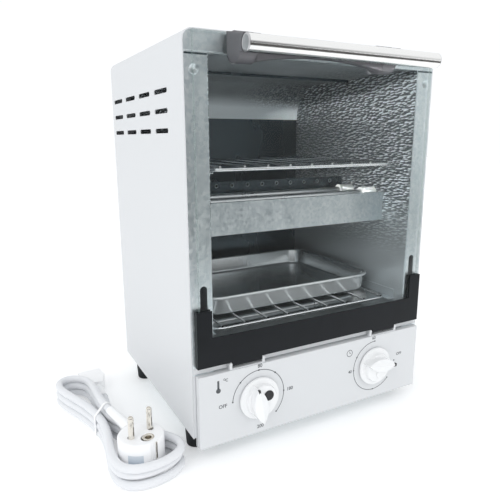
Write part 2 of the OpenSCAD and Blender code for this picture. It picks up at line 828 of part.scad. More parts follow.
// Hinge brackets: two ears on a foot that stands on the control panel's ledge
module hinge_brackets() {
  color(steel) from_front() both_sides() translate([hinge_x, 0, 0]) difference() {
    union() {
      for (s = [-1, 1]) {
        x0 = s * (hinge_w - bracket_ear_t) / 2 - bracket_ear_t / 2;
        bar_x(knuckle_r, x0, x0 + bracket_ear_t, pivot_y, pivot_z);
        block([x0, pivot_y - knuckle_r + 0.4, panel_z1],
              [x0 + bracket_ear_t, pivot_y + knuckle_r - 0.4, pivot_z]);
      }
      block([-hinge_w / 2, pivot_y - knuckle_r + 0.4, panel_z1], [hinge_w / 2, 0.6, panel_z1 + 1]);
    }
    bar_x(pin_r + pin_clear, -hinge_w, hinge_w, pivot_y, pivot_z);
  }
}

// Hinge pins with a small head at each end
module hinge_pins() {
  color(steel) from_front() both_sides() translate([hinge_x, 0, 0]) {
    bar_x(pin_r, -hinge_w / 2 - 0.6, hinge_w / 2 + 0.6, pivot_y, pivot_z);
    for (s = [-1, 1])
      translate([s * (hinge_w / 2 + 0.4), 0, 0]) bar_x(knuckle_r - 0.1, -0.3, 0.3, pivot_y, pivot_z);
  }
}

// Door glass, drilled for the handle screws
module door_glass() {
  color(glass_tint) from_front() difference() {
    block([-glass_x, glass_front_y, glass_z0], [glass_x, door_back_y, glass_z1]);
    at_handle_screws() bar_y(handle_screw_r + 0.6, glass_front_y - 1, 0, 0, screw_z);
  }
}

// Black door rail: a channel under the glass with two upturned ends and two hinge knuckles
module rail_outline() {
  translate([-door_x, rail_z0]) square([2 * door_x, rail_h]);
  for (s = [-1, 1])
    translate([s * (door_x - ear_w / 2) - ear_w / 2, rail_z0]) square([ear_w, ear_h]);
}

module rail_ends() {
  for (s = [-1, 1])
    translate([s * (door_x - ear_w / 2) - ear_w / 2, rail_z0]) square([ear_w, ear_h]);
  translate([-door_x, rail_z0]) square([2 * door_x, rail_h / 2]);
}

module door_rail() {
  color(satin_black) from_front() difference() {
    union() {
      along_y(sheet, door_front_y) rail_outline();
      along_y(sheet, door_back_y) rail_ends();
      block([-door_x, door_front_y, rail_z0], [door_x, lip_y, glass_z0]);
      both_sides() block([door_x - sheet, door_front_y, rail_z0], [door_x, lip_y, rail_z0 + ear_h]);
      both_sides() {
        block([hinge_x - knuckle_l / 2, door_front_y, pivot_z],
              [hinge_x + knuckle_l / 2, door_front_y + sheet, rail_z0]);
        bar_x(knuckle_r, hinge_x - knuckle_l / 2, hinge_x + knuckle_l / 2, pivot_y, pivot_z);
      }
    }
    bar_x(pin_r + pin_clear, -door_x, door_x, pivot_y, pivot_z);
  }
}

// Screw places of the handle, in the middle of each post
module at_handle_screws() {
  for (x = [-post_left + post_w / 2, post_right - post_w / 2]) translate([x, 0, 0]) children();
}

// Dark moulded bracket: two posts that hold the tube, and an arched web between them
handle_screw_l = 8;
module post_outline() {
  difference() {
    union() {
      translate([post_y, post_z]) circle(post_r, $fn = fine);
      polygon([
        [post_y + post_r, post_z],
        [post_y + post_r, post_top],
        [-tube_out, post_front_top],
        [-tube_out, tube_z - tube_r + 1],
        [post_y, tube_z - tube_r + 1]
      ]);
    }
    translate([-tube_out, tube_z]) circle(tube_r + tube_seat, $fn = fine);
    translate([-front_reach - 1, tube_z - 2 * tube_r]) square([front_reach + 1 + seat_y, 4 * tube_r]);
  }
}

module web_outline() {
  half = (post_left + post_right) / 2 - post_w;
  arch_r = (half * half + web_arch * web_arch) / (2 * web_arch);
  low = post_z - post_r + 1;
  difference() {
    translate([-half, low]) square([2 * half, web_top - low]);
    translate([0, low + web_arch - arch_r]) circle(arch_r, $fn = 4 * fine);
  }
}

module handle_bracket() {
  color(handle_plum) from_front() difference() {
    union() {
      along_x(post_w, -post_left) post_outline();
      along_x(post_w, post_right - post_w) post_outline();
      difference() {
        translate([(post_right - post_left) / 2, 0, 0]) along_y(web_t, web_back_y - web_t) web_outline();
        bar_x(tube_r + tube_seat, -tube_l, tube_l, -tube_out, tube_z);
      }
    }
    at_handle_screws() bar_y(handle_screw_r, glass_front_y - handle_screw_l - 1, door_back_y, 0, screw_z);
  }
}

// Stainless handle tube and its two end caps
cap_t = 1;
module handle_tube() {
  color(steel) from_front() difference() {
    bar_x(tube_r, -tube_l / 2 + cap_t, tube_l / 2 - cap_t, -tube_out, tube_z);
    bar_x(tube_r - tube_wall, -tube_l, tube_l, -tube_out, tube_z);
  }
}

module handle_caps() {
  color(steel) from_front() both_sides() {
    bar_x(tube_r, tube_l / 2 - cap_t, tube_l / 2, -tube_out, tube_z);
    bar_x(tube_r - tube_wall - 0.1, tube_l / 2 - 6, tube_l / 2 - cap_t, -tube_out, tube_z);
  }
}

// Screws that go through the glass into the handle posts
module handle_screws() {
  color(steel) from_front() at_handle_screws() {
    bar_y(handle_head_r, door_back_y, door_back_y + 1.6, 0, screw_z);
    bar_y(handle_screw_r, glass_front_y - handle_screw_l, door_back_y, 0, screw_z);
  }
}

// Curved stay arms: each starts at the door rail and winds outwards round the hinge axis
stay_steps = 24;
function stay_radius(a) = stay_r0 + (stay_r1 - stay_r0) * a / stay_angle;
function stay_point(a, off) = [
  pivot_y + (stay_radius(a) + off) * sin(a),
  pivot_z + (stay_radius(a) + off) * cos(a)
];
module stay_outline() {
  difference() {
    polygon(concat(
      [for (i = [0:stay_steps]) stay_point(i * stay_angle / stay_steps, stay_w / 2)],
      [for (i = [stay_steps:-1:0]) stay_point(i * stay_angle / stay_steps, -stay_w / 2)]
    ));
    translate([pivot_y - 1, pivot_z]) square([lip_y - pivot_y + 1, 2 * stay_r0]);
  }
}

module stay_arms() {
  color(steel) from_front() both_sides() {
    along_x(stay_t, slot_x - stay_t / 2) stay_outline();
    block([slot_x - 2, lip_y, pivot_z + stay_r0 - stay_w / 2],
          [slot_x + 2, lip_y + sheet, pivot_z + stay_r0 + stay_w / 2]);
  }
}

// Knob outline: a boat with pointed ends, made of two arcs
module boat(l, w) {
  r = (l * l / 4 + w * w / 4) / w;
  intersection() {
    translate([r - w / 2, 0]) circle(r, $fn = 2 * fine);
    translate([w / 2 - r, 0]) circle(r, $fn = 2 * fine);
  }
}

// Knob with its skirt, hub and grip, turned clockwise as seen from the front
grip_drop = 1;
grip_sink = 1;
module knob(turn) {
  difference() {
    union() {
      bar_y(skirt_r, grip_back_y, grip_back_y + skirt_t, 0, 0);
      bar_y(hub_r, grip_back_y - hub_h, grip_back_y + grip_sink, 0, 0);
      rotate([0, turn, 0]) translate([-grip_shift, 0, -grip_drop])
        along_y(grip_h + grip_sink, grip_back_y - grip_h) boat(grip_l, grip_w);
    }
    bar_y(shaft_r + shaft_clear, shaft_front - 0.3, 0, 0, 0);
  }
}

module temperature_knob() {
  color(knob_white) from_front() translate([-knob_x, 0, knob_z]) knob(temperature_turn);
}

module timer_knob() {
  color(knob_white) from_front() translate([knob_x, 0, knob_z]) knob(timer_turn);
}

// Black inlay on a knob's hub, beside the grip
inlay_x = grip_w / 2 - grip_shift + inlay_r;
inlay_z = 3;
module inlay(turn) {
  rotate([0, turn, 0]) bar_y(inlay_r, grip_back_y - hub_h - inlay_h, grip_back_y - hub_h, inlay_x, inlay_z);
}

module temperature_inlay() {
  color(satin_black) from_front() translate([-knob_x, 0, knob_z]) inlay(temperature_turn);
}

module timer_inlay() {
  color(satin_black) from_front() translate([knob_x, 0, knob_z]) inlay(timer_turn);
}

// Control shafts, from the knob into the bearing of the thermostat or timer
module control_shaft() {
  bar_y(shaft_r, shaft_front, shaft_back, 0, knob_z);
}

module temperature_shaft() {
  color(steel) from_front() translate([-knob_x, 0, 0]) control_shaft();
}

module timer_shaft() {
  color(steel) from_front() translate([knob_x, 0, 0]) control_shaft();
}

// Body of a control: a plate behind the panel and a round case with the shaft's bearing
control_y = sheet - panel_proud;
module control_body(r, d) {
  difference() {
    union() {
      translate([0, 0, knob_z])
        block([-mount_plate / 2, control_y, -mount_plate / 2],
              [mount_plate / 2, control_y + mount_plate_t, mount_plate / 2]);
      bar_y(r, control_y + mount_plate_t, control_y + mount_plate_t + d, 0, knob_z);
    }
    bar_y(shaft_r + shaft_clear, control_y - 1, shaft_back + 1, 0, knob_z);
  }
}

module thermostat() {
  color(steel) from_front() translate([-knob_x, 0, 0]) control_body(thermostat_r, thermostat_d);
}

module timer() {
  color(steel) from_front() translate([knob_x, 0, 0]) control_body(timer_r, timer_d);
}

// Bell of the timer: a thin dome on a post behind the timer's case
bell_y = control_y + mount_plate_t + timer_d;
bell_post = 5;
module timer_bell() {
  color(steel) from_front() translate([knob_x, 0, 0]) union() {
    bar_y(2, bell_y, bell_y + bell_post + 4, 0, knob_z);
    translate([0, bell_y + bell_post + 4, knob_z]) rotate([90, 0, 0]) rotate_extrude($fn = fine) {
      square([bell_r, 1]);
      translate([bell_r - 1, 0]) square([1, 4]);
    }
  }
}

// Temperature probe on the left wall, with its capillary down to the thermostat
capillary_r = 0.9;
capillary_x = stile_in_x + 2;
probe_x = wall_x - probe_r - 0.3;
probe_z = floor_z + probe_rise;
capillary_y = guard_y + 12;
probe_y = capillary_y + 6;
module temperature_probe() {
  color(brass_yellow) from_front() mirror([1, 0, 0]) {
    bar_y(probe_r, probe_y, probe_y + probe_l, probe_x, probe_z);
    bar_y(capillary_r, capillary_y, probe_y, probe_x, probe_z);
    bar_x(capillary_r, probe_x, capillary_x, capillary_y, probe_z);
    bar_z(capillary_r, knob_z, probe_z, capillary_x, capillary_y);
    bar_x(capillary_r, knob_x, capillary_x, capillary_y, knob_z);
    bar_y(capillary_r, control_y + mount_plate_t + thermostat_d, capillary_y, knob_x, knob_z);
    for (p = [[probe_x, probe_z], [capillary_x, probe_z], [capillary_x, knob_z], [knob_x, knob_z]])
      translate([p[0], capillary_y, p[1]]) sphere(capillary_r, $fn = 16);
  }
}

// Terminal block on the base pan, with its two fixing feet
block_y = 120;
block_w = 60;
block_d = 18;
block_h = 16;
block_foot = 6;
way_r = 3;
way_pitch = 12;
module terminal_block() {
  color(knob_white) from_front() translate([0, block_y, shell_z0 + sheet]) difference() {
    union() {
      block([-block_w / 2, -block_d / 2, 0], [block_w / 2, block_d / 2, block_h]);
      block([-block_w / 2 - block_foot, -block_d / 4, 0],
            [block_w / 2 + block_foot, block_d / 4, block_foot / 2]);
    }
    for (i = [-2:2]) bar_z(way_r, block_h / 2, block_h + 1, i * way_pitch, 0);
  }
}

// Thermal fuse under the cavity floor, held by a clip
fuse_r = 3;
fuse_l = 30;
fuse_y = block_y + 30;
module thermal_fuse() {
  color(brass_yellow) from_front() translate([-fuse_l / 2, fuse_y, floor_z]) union() {
    bar_x(fuse_r, -fuse_l / 2, fuse_l / 2, 0, -fuse_r - 1);
    block([-fuse_l / 4, 1 - fuse_r, -fuse_r - 1], [fuse_l / 4, fuse_r - 1, 0]);
  }
}

// Insulated wires between the inlet, the terminal block and the controls
wire_r = 1.4;
wire_z = shell_z0 + sheet + block_h + wire_r;
timer_edge = knob_x - sqrt(pow(timer_r, 2) - pow(knob_z - wire_z, 2));
module wiring() {
  color("firebrick") from_front() {
    for (i = [0:1]) {
      y = block_y + block_d / 2 + 3 + 6 * i;
      x0 = (i - 1) * 2 * way_pitch;
      x1 = -inlet_x + [-7, 7][i];
      bar_y(wire_r, block_y, y, x0, wire_z);
      bar_x(wire_r, x1, x0, y, wire_z);
      bar_y(wire_r, y, rear_y - socket_back, x1, wire_z);
      bar_z(wire_r, wire_z, inlet_z, x1, rear_y - socket_back);
      for (p = [[x0, y, wire_z], [x1, y, wire_z], [x1, rear_y - socket_back, wire_z]])
        translate(p) sphere(wire_r, $fn = 16);
    }
    bar_y(wire_r, bell_y - 4, block_y, 2 * way_pitch, wire_z);
    bar_x(wire_r, 2 * way_pitch, timer_edge, bell_y - 4, wire_z);
    translate([2 * way_pitch, bell_y - 4, wire_z]) sphere(wire_r, $fn = 16);
  }
}

// Mains inlet with its flange and socket
socket_back = 18;
module power_inlet() {
  color(satin_black) from_front() translate([-inlet_x, 0, inlet_z]) difference() {
    union() {
      along_y(flange_t, shell_d) round_rect(flange_w, flange_h, 4);
      block([-socket_w / 2 - socket_wall, rear_y - socket_back + 2, -socket_h / 2 - socket_wall],
            [socket_w / 2 + socket_wall, shell_d, socket_h / 2 + socket_wall]);
    }
    block([-socket_w / 2, shell_d + flange_t - socket_d, -socket_h / 2],
          [socket_w / 2, shell_d + flange_t + 1, socket_h / 2]);
  }
}

// Blades of the mains inlet
module inlet_blades() {
  y0 = shell_d + flange_t - socket_d;
  color(brass_yellow) from_front() translate([-inlet_x, 0, inlet_z])
    for (p = [[-7, -2], [7, -2], [0, 2]])
      block([p[0] - 1, y0, p[1] - 2], [p[0] + 1, y0 + blade_l, p[1] + 2]);
}

// Places a piece in the hank's frame: X to the side, Y from the near lobe to the far one
module at_hank() {
  translate([-shell_w / 2 - hank_side, hank_back, 0]) rotate(hank_turn) children();
}

// The hank's route, in real sizes; a runs from -90 degrees, at the cord's first pass of the tie
cord_r = cord_d / 2;
tie_t = 0.6;
hank_z = cord_r + tie_t + 0.2;
layer = cord_d + 0.6;
waist = cord_r + 0.3;
near_w = 2.8 * (plug_r + cord_r) + 2;
far_w = 4.5 * cord_d;
near_skew = 10;
near_bulge = 12;
far_skew = -4;
low_spread = 3;
top_spread = 4;
climb_start = 195;
climb_end = 262;
loop_rings = 24;
end_a = 360 * loop_n - 90;

function ease(t) = let(c = max(0, min(1, t))) c * c * (3 - 2 * c);
function turns_at(a) = floor((a + 90) / 360 + 0.0001);
function level(a) = turns_at(a) + ease((a - 360 * turns_at(a) - climb_start) / (climb_end - climb_start));
function spread(lev) = low_spread * max(0, 1 - lev) + top_spread * max(0, lev - 1);
function lobe(a, reach, w) = [
  -sin(a) * (w - (w - waist) * pow(sin(a), 2)),
  -cos(a) * reach,
  hank_z + layer * level(a)
];
function near_shift(a) = near_skew * pow(cos(a), 2) + near_bulge * pow(cos(a) * sin(a), 2);
function loop_point(a) = cos(a) > 0
  ? lobe(a, near_reach + spread(level(a)), near_w + 0.6 * spread(level(a))) + [near_shift(a), 0, 0]
  : lobe(a, far_reach, far_w) + [far_skew * pow(cos(a), 2), 0, 0];

// Free ends: from the connector to the tie, and from the tie to the plug's strain relief
start_x = 20.2;
start_y = 52;
start_z = 8.2;
start_turn = 4.6;
start_run = [
  [start_x, start_y, start_z],
  [start_x - cord_d * sin(start_turn), start_y - cord_d * cos(start_turn), start_z],
  [17.4, 36, 7],
  [13.2, 26, 5.6],
  [8.4, 15, 4.6]
];
end_point = loop_point(end_a);
plug_y = -(near_reach - plug_r - cord_r - 1);
plug_x = 6.8;
end_dir = [plug_x - end_point[0], plug_y, 0] / norm([plug_x - end_point[0], plug_y]);
cord_end = end_point + (cord_d + 1) * end_dir;

function cord_route(step) = concat(
  start_run,
  [for (i = [0:round((end_a + 90) / step)]) loop_point(-90 + i * step)],
  [end_point + end_dir, cord_end]
);
cord_path = cord_route(360 / loop_rings);

// Least distance between two places on the cord that are more than a few diameters apart along it
gap_step = 5;
gap_path = cord_route(gap_step);
gap_skip = 8;
least_gap = min([
  for (i = [0:len(gap_path) - gap_skip - 1])
    min([for (j = [i + gap_skip:len(gap_path) - 1]) norm(gap_path[i] - gap_path[j])])
]) - cord_d;
echo(str("mains_lead: least gap of the tube to itself ", least_gap, " mm"));

// One unbroken tube of six sides along a path
tube_sides = 6;
function unit(v) = v / norm(v);
function tangent(path, i) = unit(path[min(i + 1, len(path) - 1)] - path[max(i - 1, 0)]);
function ring(p, t, r) = let(s = unit(cross(t, [0, 0, 1])), w = cross(s, t))
  [
    for (j = [0:tube_sides - 1])
      let(c = 360 * (j + 0.5) / tube_sides) p + r * (cos(c) * s + sin(c) * w)
  ];
module sweep(path, r) {
  n = len(path);
  k = tube_sides;
  polyhedron(
    points = [for (i = [0:n - 1]) each ring(path[i], tangent(path, i), r)],
    faces = concat(
      [for (i = [0:n - 2], j = [0:k - 1]) [i * k + j, (i + 1) * k + (j + 1) % k, i * k + (j + 1) % k]],
      [for (i = [0:n - 2], j = [0:k - 1]) [i * k + j, (i + 1) * k + j, (i + 1) * k + (j + 1) % k]],
      [for (j = [1:k - 2]) [0, j, j + 1]],
      [for (j = [1:k - 2]) [(n - 1) * k, (n - 1) * k + j + 1, (n - 1) * k + j]]
    ),
    convexity = 10
  );
}

module mains_lead() {
  color(shell_white) from_front() at_hank() sweep(cord_path, cord_r);
}

// Tie round the hank's waist
tie_w = 3;
module waist_outline(grow) {
  hull() for (p = [[waist, 0], [waist, loop_n], [-waist, 0], [-waist, loop_n - 1]])
    translate([p[0], hank_z + layer * p[1]]) circle(cord_r + grow, $fn = 24);
}

module lead_tie() {
  color(shell_white) from_front() at_hank() along_y(tie_w, -tie_w / 2) difference() {
    waist_outline(0.15 + tie_t);
    waist_outline(0.15);
  }
}

// Connector that plugs into the cabinet's inlet: strain relief, wedge body and nose with three slots
relief_gap = 0.1;
relief_l = 24;
body_taper_l = 14;
body_l = 18;
nose_l = 14;
module lead_connector() {
  half = connector_w / 2;
  color(shell_white) from_front() at_hank()
    translate([start_x, start_y, connector_h / 2]) rotate(-start_turn) difference() {
      union() {
        translate([0, 0, start_z - connector_h / 2]) rotate([-90, 0, 0])
          translate([0, 0, relief_gap])
            cylinder(r1 = cord_r + 0.9, r2 = cord_r + 2.4, h = relief_l, $fn = fine);
        translate([0, 0, -connector_h / 2]) linear_extrude(connector_h) polygon([
          [-6, relief_l - 2], [6, relief_l - 2],
          [half + 0.4, relief_l + body_taper_l], [half + 0.4, relief_l + body_l],
          [-half - 0.4, relief_l + body_l], [-half - 0.4, relief_l + body_taper_l]
        ]);
        translate([0, relief_l + body_l + nose_l / 2 - 1, 0])
          cube([connector_w, nose_l + 2, connector_h - 0.8], center = true);
      }
      for (p = [[-7, -2], [7, -2], [0, 2]])
        translate([p[0], relief_l + body_l + nose_l, p[1]]) cube([2.4, nose_l, 4.4], center = true);
    }
}

// Places a piece in the plug's frame: X along the line of the pins
module at_plug() {
  at_hank() translate([plug_x, plug_y, 0]) rotate(plug_turn - hank_turn) children();
}

// Round plug lying on its back, with its pins up and its strain relief towards the tie
plug_round = 2;
earth_out = 9.2;
earth_r = 5;
earth_hole_r = 2.5;
earth_depth = 12;
clip_w = 5;
clip_t = 0.8;
clip_l = 16;
module plug_body() {
  color(shell_white) from_front() difference() {
    union() {
      at_plug() rotate_extrude($fn = 2 * fine) union() {
        square([plug_r - plug_round, plug_h]);
        translate([0, plug_round]) square([plug_r, plug_h - 2 * plug_round]);
        for (z = [plug_round, plug_h - plug_round])
          translate([plug_r - plug_round, z]) circle(plug_round, $fn = fine);
      }
      at_hank() translate(cord_end) rotate(atan2(end_dir[1], end_dir[0])) rotate([0, 90, 0])
        translate([0, 0, relief_gap])
          cylinder(r1 = cord_r + 0.4, r2 = cord_r + 1.8, h = relief_end, $fn = fine);
    }
    at_plug() {
      translate([0, -earth_out, plug_h - earth_depth - 0.05])
        cylinder(r = earth_r + 0.05, h = earth_depth + 1, $fn = fine);
      for (s = [-1, 1]) translate([-clip_w / 2 - 0.05, s * plug_r - clip_t, plug_h - clip_l])
        cube([clip_w + 0.1, 2 * clip_t, clip_l + 1]);
      for (s = [-1, 1]) translate([s * plug_pin_pitch / 2, 0, plug_h - pin_seat])
        cylinder(r = plug_pin_r + 0.05, h = plug_h, $fn = fine);
    }
  }
}
relief_end = norm([plug_x - cord_end[0], plug_y - cord_end[1]]) - plug_r + 2;
pin_seat = 10;

module plug_pins() {
  color(steel) from_front() at_plug() for (s = [-1, 1])
    translate([s * plug_pin_pitch / 2, 0, plug_h - pin_seat]) rotate_extrude($fn = fine) union() {
      square([plug_pin_r, pin_seat + plug_pin_l - 1]);
      square([plug_pin_r - 1, pin_seat + plug_pin_l]);
      translate([plug_pin_r - 1, pin_seat + plug_pin_l - 1]) circle(1, $fn = fine);
    }
}

// Earth contacts of the plug: the round socket in its face and the clip at each side
module plug_earth_clips() {
  color(steel) from_front() at_plug() {
    translate([0, -earth_out, plug_h - earth_depth]) difference() {
      cylinder(r = earth_r, h = earth_depth + 0.3, $fn = fine);
      translate([0, 0, 1]) cylinder(r = earth_hole_r, h = earth_depth, $fn = fine);
    }
    for (s = [-1, 1])
      translate([-clip_w / 2, s * (plug_r - clip_t / 2) - clip_t / 2, plug_h - clip_l + 0.05])
        cube([clip_w, clip_t, clip_l - 1]);
  }
}

outer_shell();
rear_panel();
base_pan();
control_panel();
top_rail();
left_stile();
right_stile();
stile_rivets();
liner_left_wall();
liner_right_wall();
liner_ceiling();
liner_back_wall();
liner_floor();
heater_shield();
heater_guard();
middle_heater_tubes();
middle_heater_insulators();
bottom_heater_tubes();
bottom_heater_insulators();
left_rack_runners();
right_rack_runners();
hinge_brackets();
hinge_pins();
thermostat();
temperature_probe();
timer();
timer_bell();
terminal_block();
thermal_fuse();
wiring();
power_inlet();
inlet_blades();
rear_screws();
feet();
foot_screws();
door_glass();
door_rail();
handle_bracket();
handle_tube();
handle_caps();
handle_screws();
stay_arms();
temperature_knob();
temperature_inlay();
temperature_shaft();
timer_knob();
timer_inlay();
timer_shaft();
upper_rack();
lower_rack();
tray();
mains_lead();
lead_tie();
lead_connector();
plug_body();
plug_pins();
plug_earth_clips();
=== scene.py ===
# Benchtop dry heat sterilizer: a small oven of sheet steel with a glass door that drops down to the front,
# and its mains lead tied in a hank beside it. Pieces are made in millimetres, measured from the middle of
# the casing's front edge and the surface that it stands on, and are then placed in the frame in metres.

from math import asin, atan2, cos, floor, pi, radians, sin

import bmesh
import bpy
from mathutils import Matrix, Vector


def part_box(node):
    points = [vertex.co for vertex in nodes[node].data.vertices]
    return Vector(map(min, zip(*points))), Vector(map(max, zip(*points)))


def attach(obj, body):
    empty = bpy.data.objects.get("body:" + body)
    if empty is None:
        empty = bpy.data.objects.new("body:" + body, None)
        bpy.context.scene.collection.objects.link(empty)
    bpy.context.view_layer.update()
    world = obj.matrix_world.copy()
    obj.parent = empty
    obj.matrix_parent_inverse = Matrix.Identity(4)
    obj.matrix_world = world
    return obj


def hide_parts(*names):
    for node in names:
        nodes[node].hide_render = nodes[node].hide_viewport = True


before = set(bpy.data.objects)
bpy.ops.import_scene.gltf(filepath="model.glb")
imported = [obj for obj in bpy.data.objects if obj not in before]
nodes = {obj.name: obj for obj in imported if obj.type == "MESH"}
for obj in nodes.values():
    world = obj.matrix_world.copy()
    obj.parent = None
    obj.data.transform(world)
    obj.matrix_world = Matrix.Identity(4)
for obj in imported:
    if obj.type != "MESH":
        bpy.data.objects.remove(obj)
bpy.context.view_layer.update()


# Camera. It stands a little left of the cabinet and above its middle. The lens and the angles come from
# the cabinet's own edges in the photograph.
scene = bpy.context.scene
front_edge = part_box("outer_shell")[0].y
to_frame = Matrix.Translation((0, front_edge, 0)) @ Matrix.Scale(0.001, 4)
viewpoint = Vector((-264.2, -354.5, 267.7))
facing_right = radians(28.61)
tipped_down = radians(12.42)
tilted = radians(0.19)
camera = bpy.data.objects.new("camera", bpy.data.cameras.new("camera"))
scene.collection.objects.link(camera)
camera.data.sensor_width = 36
camera.data.lens = 36.31
camera.matrix_world = (
    Matrix.Translation(to_frame @ viewpoint)
    @ Matrix.Rotation(-facing_right, 4, "Z")
    @ Matrix.Rotation(radians(90) - tipped_down, 4, "X")
    @ Matrix.Rotation(-tilted, 4, "Z")
)
scene.camera = camera


# Floor: a wide sweep of white paper that runs on past the camera. It is the first thing that needs a
# finish. A Wire is one value on its way through a material: sums and products of wires and numbers add
# the nodes that work them out, and node() adds any other kind.
class Wire:
    def __init__(self, tree, socket):
        self.tree = tree
        self.socket = socket

    def node(self, kind, settings, inputs, out=0):
        """A new node with its settings and then its inputs, and the wire of one of its outputs"""
        fresh = self.tree.nodes.new(kind)
        for key, value in settings.items():
            setattr(fresh, key, value)
        for key, value in inputs.items():
            if isinstance(value, Wire):
                self.tree.links.new(value.socket, fresh.inputs[key])
            else:
                fresh.inputs[key].default_value = value
        return Wire(self.tree, fresh.outputs[out])

    def maths(self, operation, first, second):
        return self.node("ShaderNodeMath", {"operation": operation}, {0: first, 1: second})

    def __add__(self, other):
        return self.maths("ADD", self, other)

    def __radd__(self, other):
        return self.maths("ADD", other, self)

    def __sub__(self, other):
        return self.maths("SUBTRACT", self, other)

    def __rsub__(self, other):
        return self.maths("SUBTRACT", other, self)

    def __mul__(self, other):
        return self.maths("MULTIPLY", self, other)

    def __rmul__(self, other):
        return self.maths("MULTIPLY", other, self)

    def __pow__(self, other):
        return self.maths("POWER", self, other)

    def __abs__(self):
        return self.maths("ABSOLUTE", self, 0)

    def most(self, other):
        """The greater of two wires"""
        return self.maths("MAXIMUM", self, other)

    def ramp(self, low, high):
        """0 below low and 1 above high, with a soft change between them"""
        ends = {0: self, 1: low, 2: high, 3: 0.0, 4: 1.0}
        return self.node("ShaderNodeMapRange", {"interpolation_type": "SMOOTHSTEP"}, ends)

    def part(self, axis):
        """One of the three parts of a place or a way"""
        return self.node("ShaderNodeSeparateXYZ", {}, {0: self}, "XYZ".index(axis))

    def tint(self, low, high):
        """The colour low where this wire is 0 and high where it is 1"""
        return self.node("ShaderNodeMix", {"data_type": "RGBA"}, {0: self, 6: (*low, 1), 7: (*high, 1)}, 2)

    def noise(self, scale, detail=2.0, stretch=(1, 1, 1)):
        """Soft clouds of a size in features per metre, on this wire as the place"""
        place = self.node("ShaderNodeMapping", {}, {"Vector": self, "Scale": stretch})
        return self.node("ShaderNodeTexNoise", {}, {"Vector": place, "Scale": scale, "Detail": detail})

    def bump(self, height, strength, edge=0.0):
        """A normal from this wire as a height in metres, over edges that are rounded by so much"""
        inputs = {"Height": self, "Distance": height, "Strength": strength}
        if edge:
            inputs["Normal"] = self.node("ShaderNodeBevel", {"samples": 4}, {"Radius": edge})
        return self.node("ShaderNodeBump", {}, inputs)


def finish(name, **fixed):
    """A new material with its shader's fixed values, and the wire of the place on the object"""
    material = bpy.data.materials.new(name)
    material.use_nodes = True
    tree = material.node_tree
    shader = tree.nodes["Principled BSDF"]
    for key, value in fixed.items():
        shader.inputs[key.replace("_", " ")].default_value = value
    place = Wire(tree, tree.nodes.new("ShaderNodeTexCoord").outputs["Object"])
    return material, shader, place


def feed(shader, **wires):
    """Joins wires to the shader's sockets"""
    for key, wire in wires.items():
        wire.tree.links.new(wire.socket, shader.inputs[key.replace("_", " ")])


def made(name, work, material, place=to_frame, smooth=None):
    """An object from a bmesh in millimetres, smooth where its faces meet at less than so many degrees"""
    work.transform(place)
    if smooth is not None:
        for face in work.faces:
            face.smooth = True
        for edge in work.edges:
            edge.smooth = edge.is_boundary or edge.calc_face_angle(0) < radians(smooth)
    mesh = bpy.data.meshes.new(name)
    work.to_mesh(mesh)
    work.free()
    mesh.materials.append(material)
    piece = bpy.data.objects.new(name, mesh)
    scene.collection.objects.link(piece)
    return piece


def carries(piece, body, slot, *replaced):
    """The piece rides on a body and stands for these CAD pieces, which it hides; slot is not used"""
    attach(piece, body)
    if replaced:
        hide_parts(*replaced)


def dress(material, slot, *names):
    """Gives CAD pieces a material; slot is not used"""
    for name in names:
        nodes[name].data.materials.clear()
        nodes[name].data.materials.append(material)


floor_half = 6000
paper, shader, place = finish(
    "floor_paper", Base_Color=(0.93, 0.935, 0.94, 1), Emission_Color=(1, 1, 1, 1), Emission_Strength=0.2
)
feed(shader, Roughness=0.6 + 0.2 * place.noise(30))
sweep = bmesh.new()
bmesh.ops.create_grid(sweep, x_segments=1, y_segments=1, size=floor_half)
made("floor", sweep, paper)


# Light. The room is an even white tent. In reflections it is dark in front, low down, which gives the bare
# metal its contrast. Two large soft lamps light the white pieces, a third one lights the cavity, and a
# small one with a narrow beam reaches its right wall.
even = 0.9
behind_object = 1.05
scene.view_settings.view_transform = "Standard"
world = bpy.data.worlds.new("studio")
world.use_nodes = True
scene.world = world
tree = world.node_tree
way = Wire(tree, tree.nodes.new("ShaderNodeTexCoord").outputs["Generated"])
ray = tree.nodes.new("ShaderNodeLightPath")
camera_ray = Wire(tree, ray.outputs["Is Camera Ray"])
glossy_ray = Wire(tree, ray.outputs["Is Glossy Ray"])
in_front = (way.part("Y") * -1).ramp(-0.1, 0.45)
low_down = 1 - way.part("Z").ramp(0.08, 0.42)
dark_end = in_front * low_down * (1 - 0.9 * way.part("X").ramp(0.45, 0.85))
mirrored = 1.0 - 0.84 * dark_end
soft = even + glossy_ray * (mirrored - even)
strength = soft + camera_ray * (behind_object - soft)
tree.links.new(strength.socket, tree.nodes["Background"].inputs["Strength"])
tree.nodes["Background"].inputs["Color"].default_value = (0.97, 0.985, 1, 1)


def soft_box(name, power, size, place, towards, beam=180):
    """A square lamp in metres, turned to a point, unseen in mirrors, with a beam of so many degrees"""
    lamp = bpy.data.lights.new(name, "AREA")
    lamp.energy = power
    lamp.size = size
    lamp.spread = radians(beam)
    holder = bpy.data.objects.new(name, lamp)
    scene.collection.objects.link(holder)
    aim = Vector(towards) - Vector(place)
    holder.matrix_world = Matrix.Translation(place) @ aim.to_track_quat("-Z", "Y").to_matrix().to_4x4()
    holder.visible_glossy = False


soft_box("key_light", 9, 1.2, (-1.5, -0.9, 1.3), (0, 0, 0.15))
soft_box("fill_light", 2.5, 1.0, (1.2, -1.3, 0.8), (0, 0, 0.15))
soft_box("cavity_light", 0.7, 0.8, (0.25, -1.25, 0.3), (0, 0, 0.24))
soft_box("wall_light", 0.09, 0.15, (-0.55, -0.95, 0.36), (0.105, -0.02, 0.26), beam=6)

